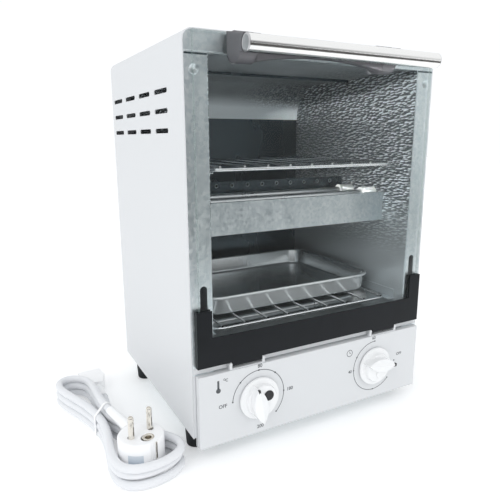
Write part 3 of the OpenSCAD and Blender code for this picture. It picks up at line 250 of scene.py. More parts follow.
# A black flag lies on the floor in front of the camera. Only mirrors see it.
flag_half = 1500
flag_place = to_frame @ Matrix.Translation((300, -1930, 1))
flag_black, shader, place = finish("flag_black", Base_Color=(0.05, 0.048, 0.045, 1))
feed(shader, Roughness=0.8 + 0.1 * place.noise(5))
cloth = bmesh.new()
bmesh.ops.create_grid(cloth, x_segments=1, y_segments=1, size=flag_half)
flag = made("black_flag", cloth, flag_black, flag_place)
flag.visible_camera = flag.visible_diffuse = flag.visible_shadow = flag.visible_transmission = False


# Mains lead: one white round cord of three cores, folded into three loops and tied at the waist, as
# packed. The connector's end leaves above the far loops, and the plug stands in the near ones.
cord_d = 7
cord_r = cord_d / 2
hank_z = cord_r + 0.8
layer = cord_d + 0.6
loops = 3
end_angle = 360 * loops - 90
waist = cord_r + 0.3
near_reach = 91
near_width = 65
near_shift = 10
near_bulge = 12
far_reach = 92
far_width = 31.5
far_shift = 4
climb_start = 195
climb = 67
hank_place = Matrix.Translation((-182, 80, 0)) @ Matrix.Rotation(radians(8.3), 4, "Z")


def hank_level(a):
    """How many layers up the cord lies, at an angle along its loops"""
    turn = floor((a + 90) / 360 + 0.0001)
    t = min(1, max(0, (a - 360 * turn - climb_start) / climb))
    return turn + t * t * (3 - 2 * t)


def hank_point(a):
    """The cord's middle at an angle along its loops: a near lobe, the waist, a far lobe"""
    c, s, level = cos(radians(a)), sin(radians(a)), hank_level(a)
    if c > 0:
        spread = 3 * max(0, 1 - level) + 4 * max(0, level - 1)
        reach = near_reach + spread
        width = near_width + 0.6 * spread
        shift = near_shift * c * c + near_bulge * (c * s) ** 2
    else:
        reach = far_reach
        width = far_width
        shift = -far_shift * c * c
    return Vector((shift - s * (width - (width - waist) * s * s), -c * reach, hank_z + layer * level))


# The first stretch comes down from the connector to the far loops, and the last one runs to the plug.
start = Vector((20.2, 52, 8.2))
start_turn = radians(4.6)
plug_middle = Vector((6.8, -67.5, 0))
end_point = hank_point(end_angle)
end_way = Vector((plug_middle.x - end_point.x, plug_middle.y, 0)).normalized()
route = [start, start - Vector((7 * sin(start_turn), 7 * cos(start_turn), 0))]
route += [Vector((17.4, 36, 7)), Vector((13.2, 26, 5.6)), Vector((8.4, 15, 4.6))]
route += [hank_point(a) for a in range(-90, end_angle + 1, 5)]
route += [end_point + end_way, end_point + 8 * end_way]
route = [to_frame @ (hank_place @ p) for p in route]

jacket, shader, place = finish("cord_jacket", Coat_Weight=0.15, Coat_Roughness=0.4)
clouds = place.noise(60)
feed(
    shader,
    Base_Color=clouds.tint((0.76, 0.775, 0.8), (0.81, 0.82, 0.84)),
    Roughness=0.34 + 0.14 * clouds,
    Normal=place.noise(240).bump(0.0004, 0.25),
)
cord_curve = bpy.data.curves.new("mains_lead_cord", "CURVE")
cord_curve.dimensions = "3D"
cord_curve.bevel_depth = cord_r / 1000
cord_curve.bevel_resolution = 5
cord_curve.use_fill_caps = True
line = cord_curve.splines.new("POLY")
line.points.add(len(route) - 1)
for point, spot in zip(line.points, route):
    point.co = (*spot, 1)
line.use_smooth = True
cord_curve.materials.append(jacket)
cord = bpy.data.objects.new("mains_lead_cord", cord_curve)
scene.collection.objects.link(cord)
carries(cord, "cabinet", "cord_jacket", "mains_lead")


# Plug: a round white moulding with a bevelled rim, two hollow-tipped round pins of nickelled brass, slit
# along one side, and an earth socket and clips of the same brass. A bluish painted reflection lies low on
# its side, and the slits are dark blocks of painted shadow.
plug_r = 19
plug_h = 33
pin_r = 2.4
pin_out = 9.5
pin_seat = plug_h - 10
pin_tip = plug_h + 19
earth_out = 9.2
earth_seat = plug_h - 12
clip_low = 17.6
clip_high = 32.4
clip_y = plug_r - 0.3
cover_y = plug_r - 0.55
groove_low = 18.5
groove_high = 32
reflection_low = 15.5
reflection_high = 24.5
plug_turn = radians(15.5)
reflection_turn = radians(-163)
reflection_angle = radians(38)
plug_place = to_frame @ hank_place @ Matrix.Translation(plug_middle) @ Matrix.Rotation(plug_turn, 4, "Z")
moulded, shader, place = finish("white_plastic", Coat_Weight=0.1)
clouds = place.noise(70)
feed(
    shader,
    Base_Color=clouds.tint((0.955, 0.96, 0.97), (0.975, 0.978, 0.985)),
    Roughness=0.3 + 0.14 * clouds,
    Normal=place.noise(900).bump(0.0001, 0.3, 0.0008),
)
dress(moulded, "white_plastic", "plug_body", "lead_connector", "lead_tie")

# Painted reflection: a bluish patch laid just over the plug's side, its colour darker towards its lower edge
# as painted shade.
painted_reflection_tint, shader, place = finish("plug_painted_reflection")
reflection_fade = place.part("Z").ramp(0.016, 0.028)
feed(
    shader,
    Base_Color=reflection_fade.tint((0.5, 0.57, 0.65), (0.74, 0.79, 0.84)),
    Roughness=0.3 + 0.2 * place.noise(300),
)
reflection_sheet = bmesh.new()
edge = [reflection_sheet.verts.new((plug_r + 0.06, 0, z)) for z in (reflection_low, reflection_high)]
reflection_sheet.edges.new(edge)
bmesh.ops.spin(
    reflection_sheet, geom=edge + reflection_sheet.edges[:], cent=(0, 0, 0), axis=(0, 0, 1), angle=reflection_angle, steps=10,
    use_merge=False,
)
bmesh.ops.recalc_face_normals(reflection_sheet, faces=reflection_sheet.faces)
reflection_place = plug_place @ Matrix.Rotation(reflection_turn, 4, "Z")
plug_painted_reflection = made("plug_painted_reflection", reflection_sheet, painted_reflection_tint, reflection_place, smooth=60)
carries(plug_painted_reflection, "cabinet", "white_plastic")

nickel, shader, place = finish("nickel", Metallic=1.0)
clouds = place.noise(150)
feed(shader, Base_Color=clouds.tint((0.7, 0.66, 0.6), (0.84, 0.81, 0.75)), Roughness=0.16 + 0.12 * clouds)


def turned(profile, steps=48):
    """A bmesh turned about the Z axis from (radius, height) points"""
    work = bmesh.new()
    line = [work.verts.new((r, 0, z)) for r, z in profile]
    for low, high in zip(line, line[1:]):
        work.edges.new((low, high))
    bmesh.ops.spin(
        work, geom=work.verts[:] + work.edges[:], cent=(0, 0, 0), axis=(0, 0, 1), angle=2 * pi, steps=steps,
        use_merge=True,
    )
    bmesh.ops.remove_doubles(work, verts=work.verts, dist=0.001)
    bmesh.ops.recalc_face_normals(work, faces=work.faces)
    return work


def block(work, low, high, edge=0.0):
    """Adds a block with bevelled edges to a bmesh"""
    cube = bmesh.ops.create_cube(work, size=1)["verts"]
    bmesh.ops.scale(work, vec=Vector(high) - Vector(low), verts=cube)
    bmesh.ops.translate(work, vec=(Vector(high) + Vector(low)) / 2, verts=cube)
    if edge:
        edges = [e for e in work.edges if e.verts[0] in cube]
        bmesh.ops.bevel(
            work, geom=edges, offset=edge, segments=2, profile=0.5, affect="EDGES", material=-1,
            clamp_overlap=True,
        )


def join(work, part):
    """Adds a bmesh to another one, and frees it"""
    mesh = bpy.data.meshes.new("part")
    part.to_mesh(mesh)
    part.free()
    work.from_mesh(mesh)
    bpy.data.meshes.remove(mesh)


pins = bmesh.new()
slits = bmesh.new()
for side in (-1, 1):
    pin = turned([
        (0, pin_seat), (pin_r, pin_seat), (pin_r, plug_h + 1), (pin_r, pin_tip - 5.8),
        (pin_r - 0.15, pin_tip - 5.5), (pin_r - 0.15, pin_tip - 5), (pin_r, pin_tip - 4.7),
        (pin_r, pin_tip - 1.4), (pin_r - 0.3, pin_tip - 0.5), (pin_r - 0.9, pin_tip),
        (pin_r - 1.2, pin_tip - 0.1), (pin_r - 1.5, pin_tip - 0.8), (0, pin_tip - 1),
    ])
    pin.transform(Matrix.Translation((side * pin_out, 0, 0)))
    join(pins, pin)
    slit_x = side * pin_out + 0.2
    block(slits, (slit_x, -pin_r - 0.07, plug_h + 2.5), (slit_x + 0.8, 0.3 - pin_r, plug_h + 10.5), 0.15)
    groove_y = side * plug_r
    block(slits, (-0.5, groove_y - 0.12, groove_low), (0.5, groove_y + 0.12, groove_high), 0.1)
plug_pins = made("plug_pins_turned", pins, nickel, plug_place, 40)
carries(plug_pins, "cabinet", "nickel", "plug_pins")
earth = turned([
    (5, earth_seat), (5, plug_h), (4.7, plug_h + 0.3), (3.3, plug_h + 0.3), (2.7, plug_h - 0.1),
    (2.5, plug_h - 0.8), (2.5, earth_seat + 1), (2.4, earth_seat), (5, earth_seat),
])
earth.transform(Matrix.Translation((0, -earth_out, 0)))
covers = bmesh.new()
for side in (-1, 1):
    y = side * clip_y
    block(earth, (-0.9, y - 0.35, clip_low), (0.9, y + 0.35, clip_high), 0.15)
    y = side * cover_y
    for x in (-1.7, 1.7):
        block(covers, (x - 0.75, y - 0.3, clip_low - 0.5), (x + 0.75, y + 0.3, clip_high + 0.5), 0.1)
plug_earth = made("plug_earth_contacts", earth, nickel, plug_place, 40)
carries(plug_earth, "cabinet", "nickel", "plug_earth_clips")
plug_covers = made("plug_clip_covers", covers, moulded, plug_place)
carries(plug_covers, "cabinet", "white_plastic")
# Painted shadow: the pins' slits and the slots beside the earth clips are not cut; dark blocks stand on them
# instead.
shadow_black, shader, place = finish("slit_shadow", Roughness=0.6)
feed(shader, Base_Color=place.noise(400).tint((0.02, 0.02, 0.02), (0.07, 0.06, 0.05)))
plug_slit_shades = made("plug_slit_shadows", slits, shadow_black, plug_place)
carries(plug_slit_shades, "cabinet", "black_plastic")


# Casing: mild steel sheet, bent, spot welded and powder coated in white. The coat is a smooth satin
# with a fine orange peel, and it rounds every cut edge by a few tenths of a millimetre.
enamel, shader, place = finish("white_enamel", Coat_Weight=0.15, Coat_Roughness=0.3)
clouds = place.noise(7, 3)
feed(
    shader,
    Base_Color=clouds.tint((0.665, 0.68, 0.695), (0.69, 0.703, 0.716)),
    Roughness=0.34 + 0.12 * clouds,
    Normal=place.noise(700).bump(0.0002, 0.12, 0.0006),
)
dress(enamel, "white_paint", "outer_shell", "rear_panel", "control_panel", "hinge_brackets")


# Printing on the control panel: screen print in dark grey ink round the two dials, with plain numbers,
# the word for off, a thermometer with its degree sign, and a clock. It is a film on the paint.
panel_y = -5.54
dial_x = 65.5
dial_z = 48
arc_r = 25.5
arc_width = 0.62
tick_r = 0.8
thermometer_x = -104.1
clock_x = 34.3
clock_z = 67.2
ink, shader, place = finish("panel_ink", Roughness=0.5)
feed(shader, Base_Color=place.noise(500).tint((0.05, 0.055, 0.06), (0.13, 0.14, 0.15)))
prints = bmesh.new()
upright = Matrix.Rotation(radians(90), 4, "X")


def lay_down(fine, centre):
    """Puts a flat shape on the panel, facing forwards"""
    for face in fine.faces:
        face.normal_update()
        if face.normal.z < 0:
            face.normal_flip()
    fine.transform(Matrix.Translation((centre[0], panel_y, centre[1])) @ upright)
    join(prints, fine)


def ring(centre, radius, width, first, last):
    """A printed arc round a centre, between two angles"""
    fine = bmesh.new()
    ends = [
        fine.verts.new((r * cos(radians(first)), r * sin(radians(first)), 0))
        for r in (radius - width / 2, radius + width / 2)
    ]
    fine.edges.new(ends)
    steps = max(6, int(abs(last - first) / 4))
    bmesh.ops.spin(
        fine, geom=ends + fine.edges[:], cent=(0, 0, 0), axis=(0, 0, 1), angle=radians(last - first),
        steps=steps, use_merge=False,
    )
    lay_down(fine, centre)


def dot(centre, radius):
    """A printed spot"""
    fine = bmesh.new()
    bmesh.ops.create_circle(fine, cap_ends=True, segments=20, radius=radius)
    lay_down(fine, centre)


def bar(first, last, width):
    """A printed straight line with square ends"""
    way = Vector((last[0] - first[0], last[1] - first[1], 0))
    fine = bmesh.new()
    bmesh.ops.create_grid(fine, x_segments=1, y_segments=1, size=0.5)
    fine.transform(
        Matrix.Rotation(atan2(way.y, way.x), 4, "Z") @ Matrix.Diagonal((way.length, width, 1, 1))
    )
    lay_down(fine, ((first[0] + last[0]) / 2, (first[1] + last[1]) / 2))


def words(text, centre, size):
    """Printed numbers or letters about a centre"""
    curve = bpy.data.curves.new("print", "FONT")
    curve.body = text
    curve.size = size
    curve.align_x = curve.align_y = "CENTER"
    curve.offset = 0.02 * size
    holder = bpy.data.objects.new("print", curve)
    scene.collection.objects.link(holder)
    mesh = bpy.data.meshes.new_from_object(holder)
    fine = bmesh.new()
    fine.from_mesh(mesh)
    lay_down(fine, centre)
    bpy.data.objects.remove(holder)
    bpy.data.curves.remove(curve)
    bpy.data.meshes.remove(mesh)


def on_dial(middle, angle):
    """The place on a dial's arc at an angle"""
    return middle + arc_r * cos(radians(angle)), dial_z + arc_r * sin(radians(angle))


ring((-dial_x, dial_z), arc_r, arc_width, -46, 176)
for angle in (-46, 0, 50, 90, 135, 176):
    dot(on_dial(-dial_x, angle), tick_r)
words("80", (-64.4, 77.2), 4.6)
words("180", (-33.5, 48.2), 4.4)
words("200", (-64, 19.8), 4.6)
words("OFF", (-100.2, 48.4), 4.4)
ring((dial_x, dial_z), arc_r, arc_width, 90, 317)
for angle in (90, 150, 180, 270, 317):
    dot(on_dial(dial_x, angle), tick_r)
words("60", (64, 77), 4.4)
words("40", (35.6, 47.6), 4.2)
words("OFF", (98.6, 53.4), 4.0)
dot((92.4, 47.5), tick_r)
bar((thermometer_x, 65), (thermometer_x, 72.6), 1.9)
dot((thermometer_x, 63.6), 2.2)
ring((-98.4, 72.6), 0.8, 0.4, 0, 359)
words("C", (-96.3, 71.6), 3.6)
ring((clock_x, clock_z), 3.2, 0.6, 0, 359)
bar((clock_x, clock_z), (clock_x, clock_z + 2.1), 0.5)
bar((clock_x, clock_z), (clock_x + 1.5, clock_z), 0.5)
carries(made("panel_prints", prints, ink), "cabinet", "black_plastic")


# Front frame, base and heater shield: zinc coated steel sheet with the fine crystals and faint vertical
# streaks of rolled and dipped stock, spot welded, with a rivet at the top of each upright.
zinc, shader, place = finish("galvanised_sheet", Metallic=1.0)
crystal = place.node("ShaderNodeTexVoronoi", {}, {"Vector": place, "Scale": 380.0}, 1)
grain = crystal.node("ShaderNodeRGBToBW", {}, {0: crystal})
streaks = place.noise(60, 4, (1, 1, 0.2))
feed(
    shader,
    Base_Color=(0.5 * grain + 0.5 * streaks).tint((0.6, 0.69, 0.73), (0.97, 1.0, 1.0)),
    Roughness=0.24 + 0.14 * grain + 0.14 * streaks,
    Normal=place.noise(420, 3).bump(0.0003, 0.2, 0.0004),
)
dress(
    zinc, "galvanised", "base_pan", "top_rail", "left_stile", "right_stile", "stile_rivets", "heater_shield"
)

# A rounded hem runs along the lower edge of the top rail. A thin white strip covers the seam behind the
# hinges, between the uprights' feet and the control panel's ledge, and two flanges of the casing close
# the gaps beside the panel.
frame_half = 123.9
rail_z = (to_frame.inverted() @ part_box("top_rail")[0]).z
sill_low = 80.1
sill_high = 85.4
flange_in = 121.75
flange_out = 124.35
flange_low = 23
flange_high = 79
hem = bmesh.new()
block(hem, (-frame_half, -0.6, rail_z - 0.5), (frame_half, 0.05, rail_z + 0.8), 0.28)
carries(made("top_rail_hem", hem, zinc), "cabinet", "galvanised")
sill = bmesh.new()
block(sill, (-frame_half, -0.26, sill_low), (frame_half, -0.02, sill_high), 0.08)
carries(made("sill_strip", sill, enamel), "cabinet", "white_paint")
flanges = bmesh.new()
for side in (-1, 1):
    left, right = sorted((side * flange_in, side * flange_out))
    block(flanges, (left, 0.05, flange_low), (right, 0.7, flange_high), 0.1)
carries(made("panel_side_flanges", flanges, enamel), "cabinet", "white_paint")

# The cavity's back wall and the rear heater guard are the same sheet, its colour kept dark as painted shade,
# as are a lip across the ceiling and one over each upright, which are painted shadow lines. The floor is
# scorched to a lighter grey.
lip_half = 104.9
lip_front = 98
lip_low = 327
lip_high = 329.8
upright_in = 106
# Painted shade: this sheet's colour is kept very dark.
shade_painted_sheet, shader, place = finish("painted_shade_sheet", Metallic=1.0)
streaks = place.noise(20, 4, (1, 1, 0.3))
feed(
    shader,
    Base_Color=streaks.tint((0.065, 0.088, 0.1), (0.15, 0.18, 0.2)),
    Roughness=0.2 + 0.14 * streaks,
    Normal=place.noise(420, 3).bump(0.0003, 0.12, 0.0004),
)
dress(shade_painted_sheet, "galvanised", "liner_back_wall", "heater_guard")
# Painted shadow: a dark lip across the ceiling and dark strips under the rail's hem over the uprights.
shadow_lips = bmesh.new()
block(shadow_lips, (-lip_half, lip_front, lip_low), (lip_half, lip_front + 0.8, lip_high), 0.2)
for side in (-1, 1):
    left, right = sorted((side * upright_in, side * frame_half))
    block(shadow_lips, (left, -0.3, rail_z - 1.9), (right, 0.05, rail_z - 0.6), 0.1)
carries(made("painted_shadow_lips", shadow_lips, shade_painted_sheet), "cabinet", "galvanised")
scorched, shader, place = finish("scorched_floor", Metallic=0.5)
streaks = place.noise(30, 4)
feed(
    shader,
    Base_Color=streaks.tint((0.4, 0.43, 0.45), (0.54, 0.58, 0.6)),
    Roughness=0.42 + 0.16 * streaks,
    Normal=place.noise(300, 3).bump(0.0003, 0.2),
)
dress(scorched, "galvanised", "liner_floor")

# The punched holes of the rear guard keep bright raised rims.
hole_r = 1.5
hole_pitch = 17.5
hole_n = 11
guard_low, guard_high = (to_frame.inverted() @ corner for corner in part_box("heater_guard"))
rims = bmesh.new()
for hole in range(hole_n):
    rim = turned([
        (hole_r, -0.3), (hole_r, 0.6), (hole_r + 0.3, 0.8), (hole_r + 0.65, 0.5), (hole_r + 0.7, -0.3),
    ], 16)
    hole_middle = ((hole - hole_n // 2) * hole_pitch, guard_low.y + 3, guard_high.z - 4)
    rim.transform(Matrix.Translation(hole_middle) @ upright)
    join(rims, rim)
carries(made("guard_hole_rims", rims, zinc, smooth=50), "cabinet", "galvanised")


# Embossed side walls of the cavity: bright coated sheet rolled with shallow lens-shaped flecks that lie
# along the wall, with painted shade on one side of each fleck and a painted highlight on the other. The
# pattern fades out towards the floor of the cavity. The colour is painted lighter near the opening and the
# top, and darker at mid height, as painted light and shade. The ceiling is one sheet that turns down at the
# back, flecked only along its right side and painted lighter along its turned-down lower edge.
def flecked(name, metal, fade, painted_light):
    """A sheet, metallic by so much, with flecks where fade is 1 that carry painted shade and highlights, and
    with painted shade giving way to painted light as the last argument rises to 1
    """
    material, shader, place = finish(name, Metallic=metal)
    lengthways = {"Vector": place, "Scale": (1, 0.36, 1)}
    lenses = place.node("ShaderNodeMapping", {}, lengthways)
    above = place.node("ShaderNodeMapping", {}, {**lengthways, "Location": (0, 0.0003, 0.0007)})
    low, high = (
        at.node(
            "ShaderNodeTexVoronoi",
            {"feature": "SMOOTH_F1"},
            {"Vector": at, "Scale": 500.0, "Smoothness": 0.3},
        )
        for at in (lenses, above)
    )
    warp = lenses.noise(450, 3)
    flecks = fade(place)
    # Painted relief shading: a shifted copy of the flecks, less the flecks, gives painted shade on one side
    # of each fleck and a painted highlight on the other.
    painted_relief = (high - low + 0.9 * (warp - 0.5)).ramp(-0.26, 0.34)
    shade = (flecks * (1.2 * painted_relief ** 2.0 - 0.74) + 0.8) * painted_light(place)
    feed(
        shader,
        Base_Color=(1.05 * shade).tint((0.075, 0.088, 0.095), (0.9, 0.965, 1.0)),
        Roughness=0.26 + 0.1 * warp,
        Normal=((low * 1.5 + 0.7 * warp) * flecks).bump(0.0014, 0.9),
    )
    return material


# The side walls' painted light and shade: brightest near the top and towards the opening, darkest at mid
# height.
embossed = flecked(
    "embossed_sheet",
    0.5,
    lambda place: place.part("Z").ramp(0.14, 0.22),
    lambda place: (
        0.45 - 0.25 * place.part("Z").ramp(0.13, 0.17) + 0.6 * place.part("Z").ramp(0.27, 0.31)
        + 0.42 * (place.part("Y") * -1).ramp(-0.07, 0.06)
    ),
)
dress(
    embossed, "galvanised", "liner_left_wall", "liner_right_wall", "left_rack_runners", "right_rack_runners"
)
# The ceiling's painted light: brighter along its turned-down lower edge, with a random tone over all.
ceiling = flecked(
    "ceiling_sheet",
    0.1,
    lambda place: place.part("X").ramp(0.0, 0.09) * place.part("Z").ramp(0.3, 0.32),
    lambda place: 0.28 + 1.1 * (1 - place.part("Z").ramp(0.299, 0.32)) + 0.3 * (place.noise(26, 3) - 0.5),
)
dress(ceiling, "galvanised", "liner_ceiling")


# Heaters: stainless tubes with glazed ceramic ends. The stay arms, hinge pins, shafts, screws and the cases
# of the two controls and the bell are of the same plain metal.
steel, shader, place = finish("stainless", Metallic=1.0)
clouds = place.noise(40, 3)
feed(
    shader,
    Base_Color=clouds.tint((0.62, 0.63, 0.64), (0.76, 0.77, 0.78)),
    Roughness=0.22 + 0.14 * clouds,
    Normal=place.noise(500).bump(0.0001, 0.1, 0.0004),
)
dress(
    steel, "stainless", "middle_heater_tubes", "bottom_heater_tubes", "hinge_pins", "thermostat",
    "timer", "timer_bell", "rear_screws", "foot_screws", "handle_screws", "stay_arms", "temperature_shaft",
    "timer_shaft",
)
china, shader, place = finish("glazed_ceramic", Coat_Weight=0.5)
clouds = place.noise(90)
feed(
    shader,
    Base_Color=clouds.tint((0.94, 0.94, 0.93), (0.98, 0.98, 0.975)),
    Roughness=0.25 + 0.15 * clouds,
    Normal=place.noise(300).bump(0.0001, 0.2, 0.0006),
)
dress(china, "ceramic", "middle_heater_insulators", "bottom_heater_insulators")


# Racks: chromed steel wire, welded, with the cross wires on top of the frame wires.
chrome, shader, place = finish("chrome_wire", Metallic=1.0)
clouds = place.noise(80)
feed(shader, Base_Color=clouds.tint((0.8, 0.81, 0.82), (0.88, 0.89, 0.9)), Roughness=0.12 + 0.12 * clouds)
dress(chrome, "chrome_wire", "upper_rack", "lower_rack")


# Tray: one sheet of bright stainless steel, deep drawn with drafted walls and round corners. Its edge is
# rolled outwards over a wire. The drawn walls show faint upright lines.
rim_width = 6.9
corner_r = 14.1
tray_low, tray_high = (to_frame.inverted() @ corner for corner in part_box("tray"))
tray_middle = (tray_low + tray_high) / 2
tray_half = (tray_high - tray_low) / 2
bright, shader, place = finish("drawn_stainless")
wall_in, wall_out = (-(to_frame @ Vector((0, tray_low.y + out, 0))).y for out in (9, 6))
front_wall = (place.part("Y") * -1).ramp(wall_in, wall_out)
clouds = place.noise(28, 3)
drawn = place.noise(320, 2, (1, 1, 0.08))
feed(
    shader,
    Base_Color=clouds.tint((0.72, 0.74, 0.75), (0.86, 0.88, 0.89)),
    Metallic=0.88 - 0.26 * front_wall,
    Roughness=0.12 + 0.12 * clouds,
    Normal=(0.5 * drawn + clouds).bump(0.0006, 0.25),
)
pan = bmesh.new()
bmesh.ops.create_grid(pan, x_segments=1, y_segments=1, size=1)
bmesh.ops.scale(pan, vec=(tray_half.x - rim_width, tray_half.y - rim_width, 1), verts=pan.verts)
bmesh.ops.bevel(
    pan, geom=pan.verts[:], offset=corner_r, segments=10, profile=0.5, affect="VERTICES", material=-1,
    clamp_overlap=False,
)
inner = Vector((tray_half.x - rim_width - corner_r, tray_half.y - rim_width - corner_r))


def outwards(spot):
    """The way out from the tray's middle, square to its rounded outline"""
    away = Vector((
        spot.x - min(inner.x, max(-inner.x, spot.x)), spot.y - min(inner.y, max(-inner.y, spot.y)), 0
    ))
    return away.normalized()


# The wall as steps out and up: the rounded bottom, the drafted wall and the rolled rim
high = tray_high.z - tray_low.z
steps = [
    (0.9, 0.12), (1.7, 0.6), (2.3, 1.3), (2.6, 2.4), (3.9, high - 1.5), (4.2, high - 0.8), (4.8, high - 0.3),
    (5.6, high - 0.1), (6.3, high - 0.35), (6.7, high - 0.95), (6.65, high - 1.7), (6.1, high - 2.2),
]
border = [e for e in pan.edges if e.is_boundary]
below = (0, 0)
for out, up in steps:
    grown = bmesh.ops.extrude_edge_only(pan, edges=border)["geom"]
    border = [e for e in grown if isinstance(e, bmesh.types.BMEdge)]
    for v in (v for v in grown if isinstance(v, bmesh.types.BMVert)):
        v.co += outwards(v.co) * (out - below[0]) + Vector((0, 0, up - below[1]))
    below = (out, up)
bmesh.ops.recalc_face_normals(pan, faces=pan.faces)
pan_place = to_frame @ Matrix.Translation((tray_middle.x, tray_middle.y, tray_low.z))
tray_pan = made("tray_pan", pan, bright, pan_place, 40)
wall = tray_pan.modifiers.new("wall", "SOLIDIFY")
wall.thickness = 0.0006
wall.offset = 0
carries(tray_pan, "tray", "stainless", "tray")


# Door: clear toughened plate glass in a channel of black enamelled steel with upturned ends, on two
# hinges, held by two curved stainless arms. The glass shows the room only faintly.
glass, shader, place = finish("door_glass")
tree = glass.node_tree
clear = place.node("ShaderNodeBsdfTransparent", {}, {"Color": (0.985, 0.993, 0.991, 1)})
shine = place.node("ShaderNodeFresnel", {}, {"IOR": 1.45})
smear = place.noise(9, 4)
glass_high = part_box("door_glass")[1]
side_edges = abs(place.part("X")).ramp(glass_high.x - 0.0002, glass_high.x - 0.0001)
top_edge = place.part("Z").ramp(glass_high.z - 0.0002, glass_high.z - 0.0001)
cut_edge = side_edges.most(top_edge)
feed(shader, Base_Color=cut_edge.tint((0.9, 0.95, 0.95), (0.25, 0.33, 0.32)), Roughness=0.02 + 0.05 * smear)
outside = 1 - Wire(tree, tree.nodes.new("ShaderNodeNewGeometry").outputs["Backfacing"])
share = (shine * 0.3 + 0.008 * smear) * outside + 0.3 * cut_edge
mixed = place.node("ShaderNodeMixShader", {}, {0: share, 1: clear, 2: Wire(tree, shader.outputs[0])})
tree.links.new(mixed.socket, tree.nodes["Material Output"].inputs["Surface"])
dress(glass, "door_glass", "door_glass")

black, shader, place = finish("black_enamel", Specular_IOR_Level=0.22)
clouds = place.noise(60, 3)
feed(
    shader,
    Base_Color=clouds.tint((0.005, 0.0065, 0.008), (0.01, 0.012, 0.015)),
    Roughness=0.34 + 0.14 * clouds,
    Normal=place.noise(600).bump(0.0002, 0.15, 0.0008),
)
dress(black, "black_metal", "door_rail")


# Handle: a polished stainless tube with domed end caps, in a dark moulded bracket of two posts and an
# arched web, which two screws through the glass hold.
polished, shader, place = finish("polished_tube", Metallic=1.0)
clouds = place.noise(25, 3, (0.1, 1, 1))
feed(
    shader,
    Base_Color=clouds.tint((0.87, 0.86, 0.84), (0.94, 0.935, 0.92)),
    Roughness=0.12 + 0.06 * clouds,
    Normal=place.noise(300, 2, (0.05, 1, 1)).bump(0.0002, 0.1),
)
dress(polished, "stainless", "handle_tube")
tube_low, tube_high = (to_frame.inverted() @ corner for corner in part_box("handle_tube"))
tube_middle = (tube_low + tube_high) / 2
tube_r = (tube_high.z - tube_low.z) / 2
caps = bmesh.new()
for side in (-1, 1):
    cap = turned([
        (0, -5), (tube_r - 1.2, -5), (tube_r - 1.2, -0.05), (tube_r, -0.05), (tube_r, 0.25),
        (tube_r - 0.25, 0.62), (tube_r - 0.8, 0.9), (tube_r - 1.6, 1), (tube_r - 2, 0.8),
        (tube_r - 2.4, 0.75), (0, 0.75),
    ])
    cap_place = Matrix.Translation((side * tube_high.x, tube_middle.y, tube_middle.z))
    cap.transform(cap_place @ Matrix.Rotation(side * pi / 2, 4, "Y"))
    join(caps, cap)
cap_steel, shader, place = finish("cap_steel", Metallic=1.0)
clouds = place.noise(200, 3)
feed(
    shader,
    Base_Color=clouds.tint((0.5, 0.5, 0.51), (0.64, 0.64, 0.65)),
    Roughness=0.3 + 0.15 * clouds,
)
carries(made("handle_end_caps", caps, cap_steel, smooth=40), "door", "stainless", "handle_caps")

plum, shader, place = finish("handle_plastic", Coat_Weight=0.3, Coat_Roughness=0.12)
clouds = place.noise(90, 3)
feed(
    shader,
    Base_Color=clouds.tint((0.09, 0.089, 0.097), (0.12, 0.119, 0.128)),
    Roughness=0.3 + 0.15 * clouds,
    Normal=place.noise(900).bump(0.0001, 0.3, 0.0012),
)
dress(plum, "handle_plastic", "handle_bracket")


# Dial knobs: glossy white mouldings with a round skirt, a raised hub and a boat-shaped grip that rises
# to a crest. A small black block sits on the end of the crest that points. An inlay sits beside the grip:
# black on the temperature knob and white on the timer knob.
skirt_r = 19
hub_r = 14.9
hub_h = 7
boat_shift = Matrix.Translation((-5, -1, 0))
knob_white, shader, place = finish("knob_plastic", Coat_Weight=0.5, Coat_Roughness=0.08)
clouds = place.noise(70)
feed(
    shader,
    Base_Color=clouds.tint((0.84, 0.85, 0.86), (0.88, 0.885, 0.89)),
    Roughness=0.2 + 0.1 * clouds,
    Normal=place.noise(500).bump(0.0001, 0.1),
)
dark, shader, place = finish("black_plastic")
clouds = place.noise(120)
feed(
    shader,
    Base_Color=clouds.tint((0.012, 0.012, 0.014), (0.026, 0.026, 0.028)),
    Roughness=0.4 + 0.2 * clouds,
    Normal=place.noise(900).bump(0.0001, 0.3, 0.0006),
)
dress(dark, "black_plastic", "power_inlet", "temperature_inlay")
dress(knob_white, "knob_plastic", "timer_inlay")


def grip(length, width, low, side, crest):
    """A boat-shaped grip along Y: upright sides, and a top of two slopes that meet in a crest"""
    work = bmesh.new()
    tip = work.verts.new((0, -length / 2, low))
    r = (length * length / 4 + width * width / 4) / width
    half = asin(length / 2 / r)
    for s in (-1, 1):
        bmesh.ops.spin(
            work, geom=[tip], cent=(s * (width / 2 - r), 0, 0), axis=(0, 0, s), angle=2 * half, steps=16,
            use_merge=False,
        )
    bmesh.ops.remove_doubles(work, verts=work.verts, dist=0.01)
    outline = bmesh.ops.contextual_create(work, geom=work.edges[:])["faces"]
    top = bmesh.ops.extrude_face_region(work, geom=outline)["geom"]
    raised = [v for v in top if isinstance(v, bmesh.types.BMVert)]
    bmesh.ops.translate(work, vec=(0, 0, side - low), verts=raised)
    lid = [f for f in top if isinstance(f, bmesh.types.BMFace)]
    cut = bmesh.ops.bisect_plane(
        work, geom=lid + [e for f in lid for e in f.edges] + [v for f in lid for v in f.verts],
        plane_co=(0, 0, 0), plane_no=(1, 0, 0),
    )["geom_cut"]
    ridge = [e for e in cut if isinstance(e, bmesh.types.BMEdge)]
    grown = bmesh.ops.subdivide_edges(work, edges=ridge, cuts=11)["geom_inner"]
    for v in (v for v in grown if isinstance(v, bmesh.types.BMVert)):
        v.co.z += (crest - side) * (1 - (2 * v.co.y / length) ** 4)
    bmesh.ops.triangulate(work, faces=[f for f in work.faces if len(f.verts) > 4])
    bmesh.ops.recalc_face_normals(work, faces=work.faces)
    return work


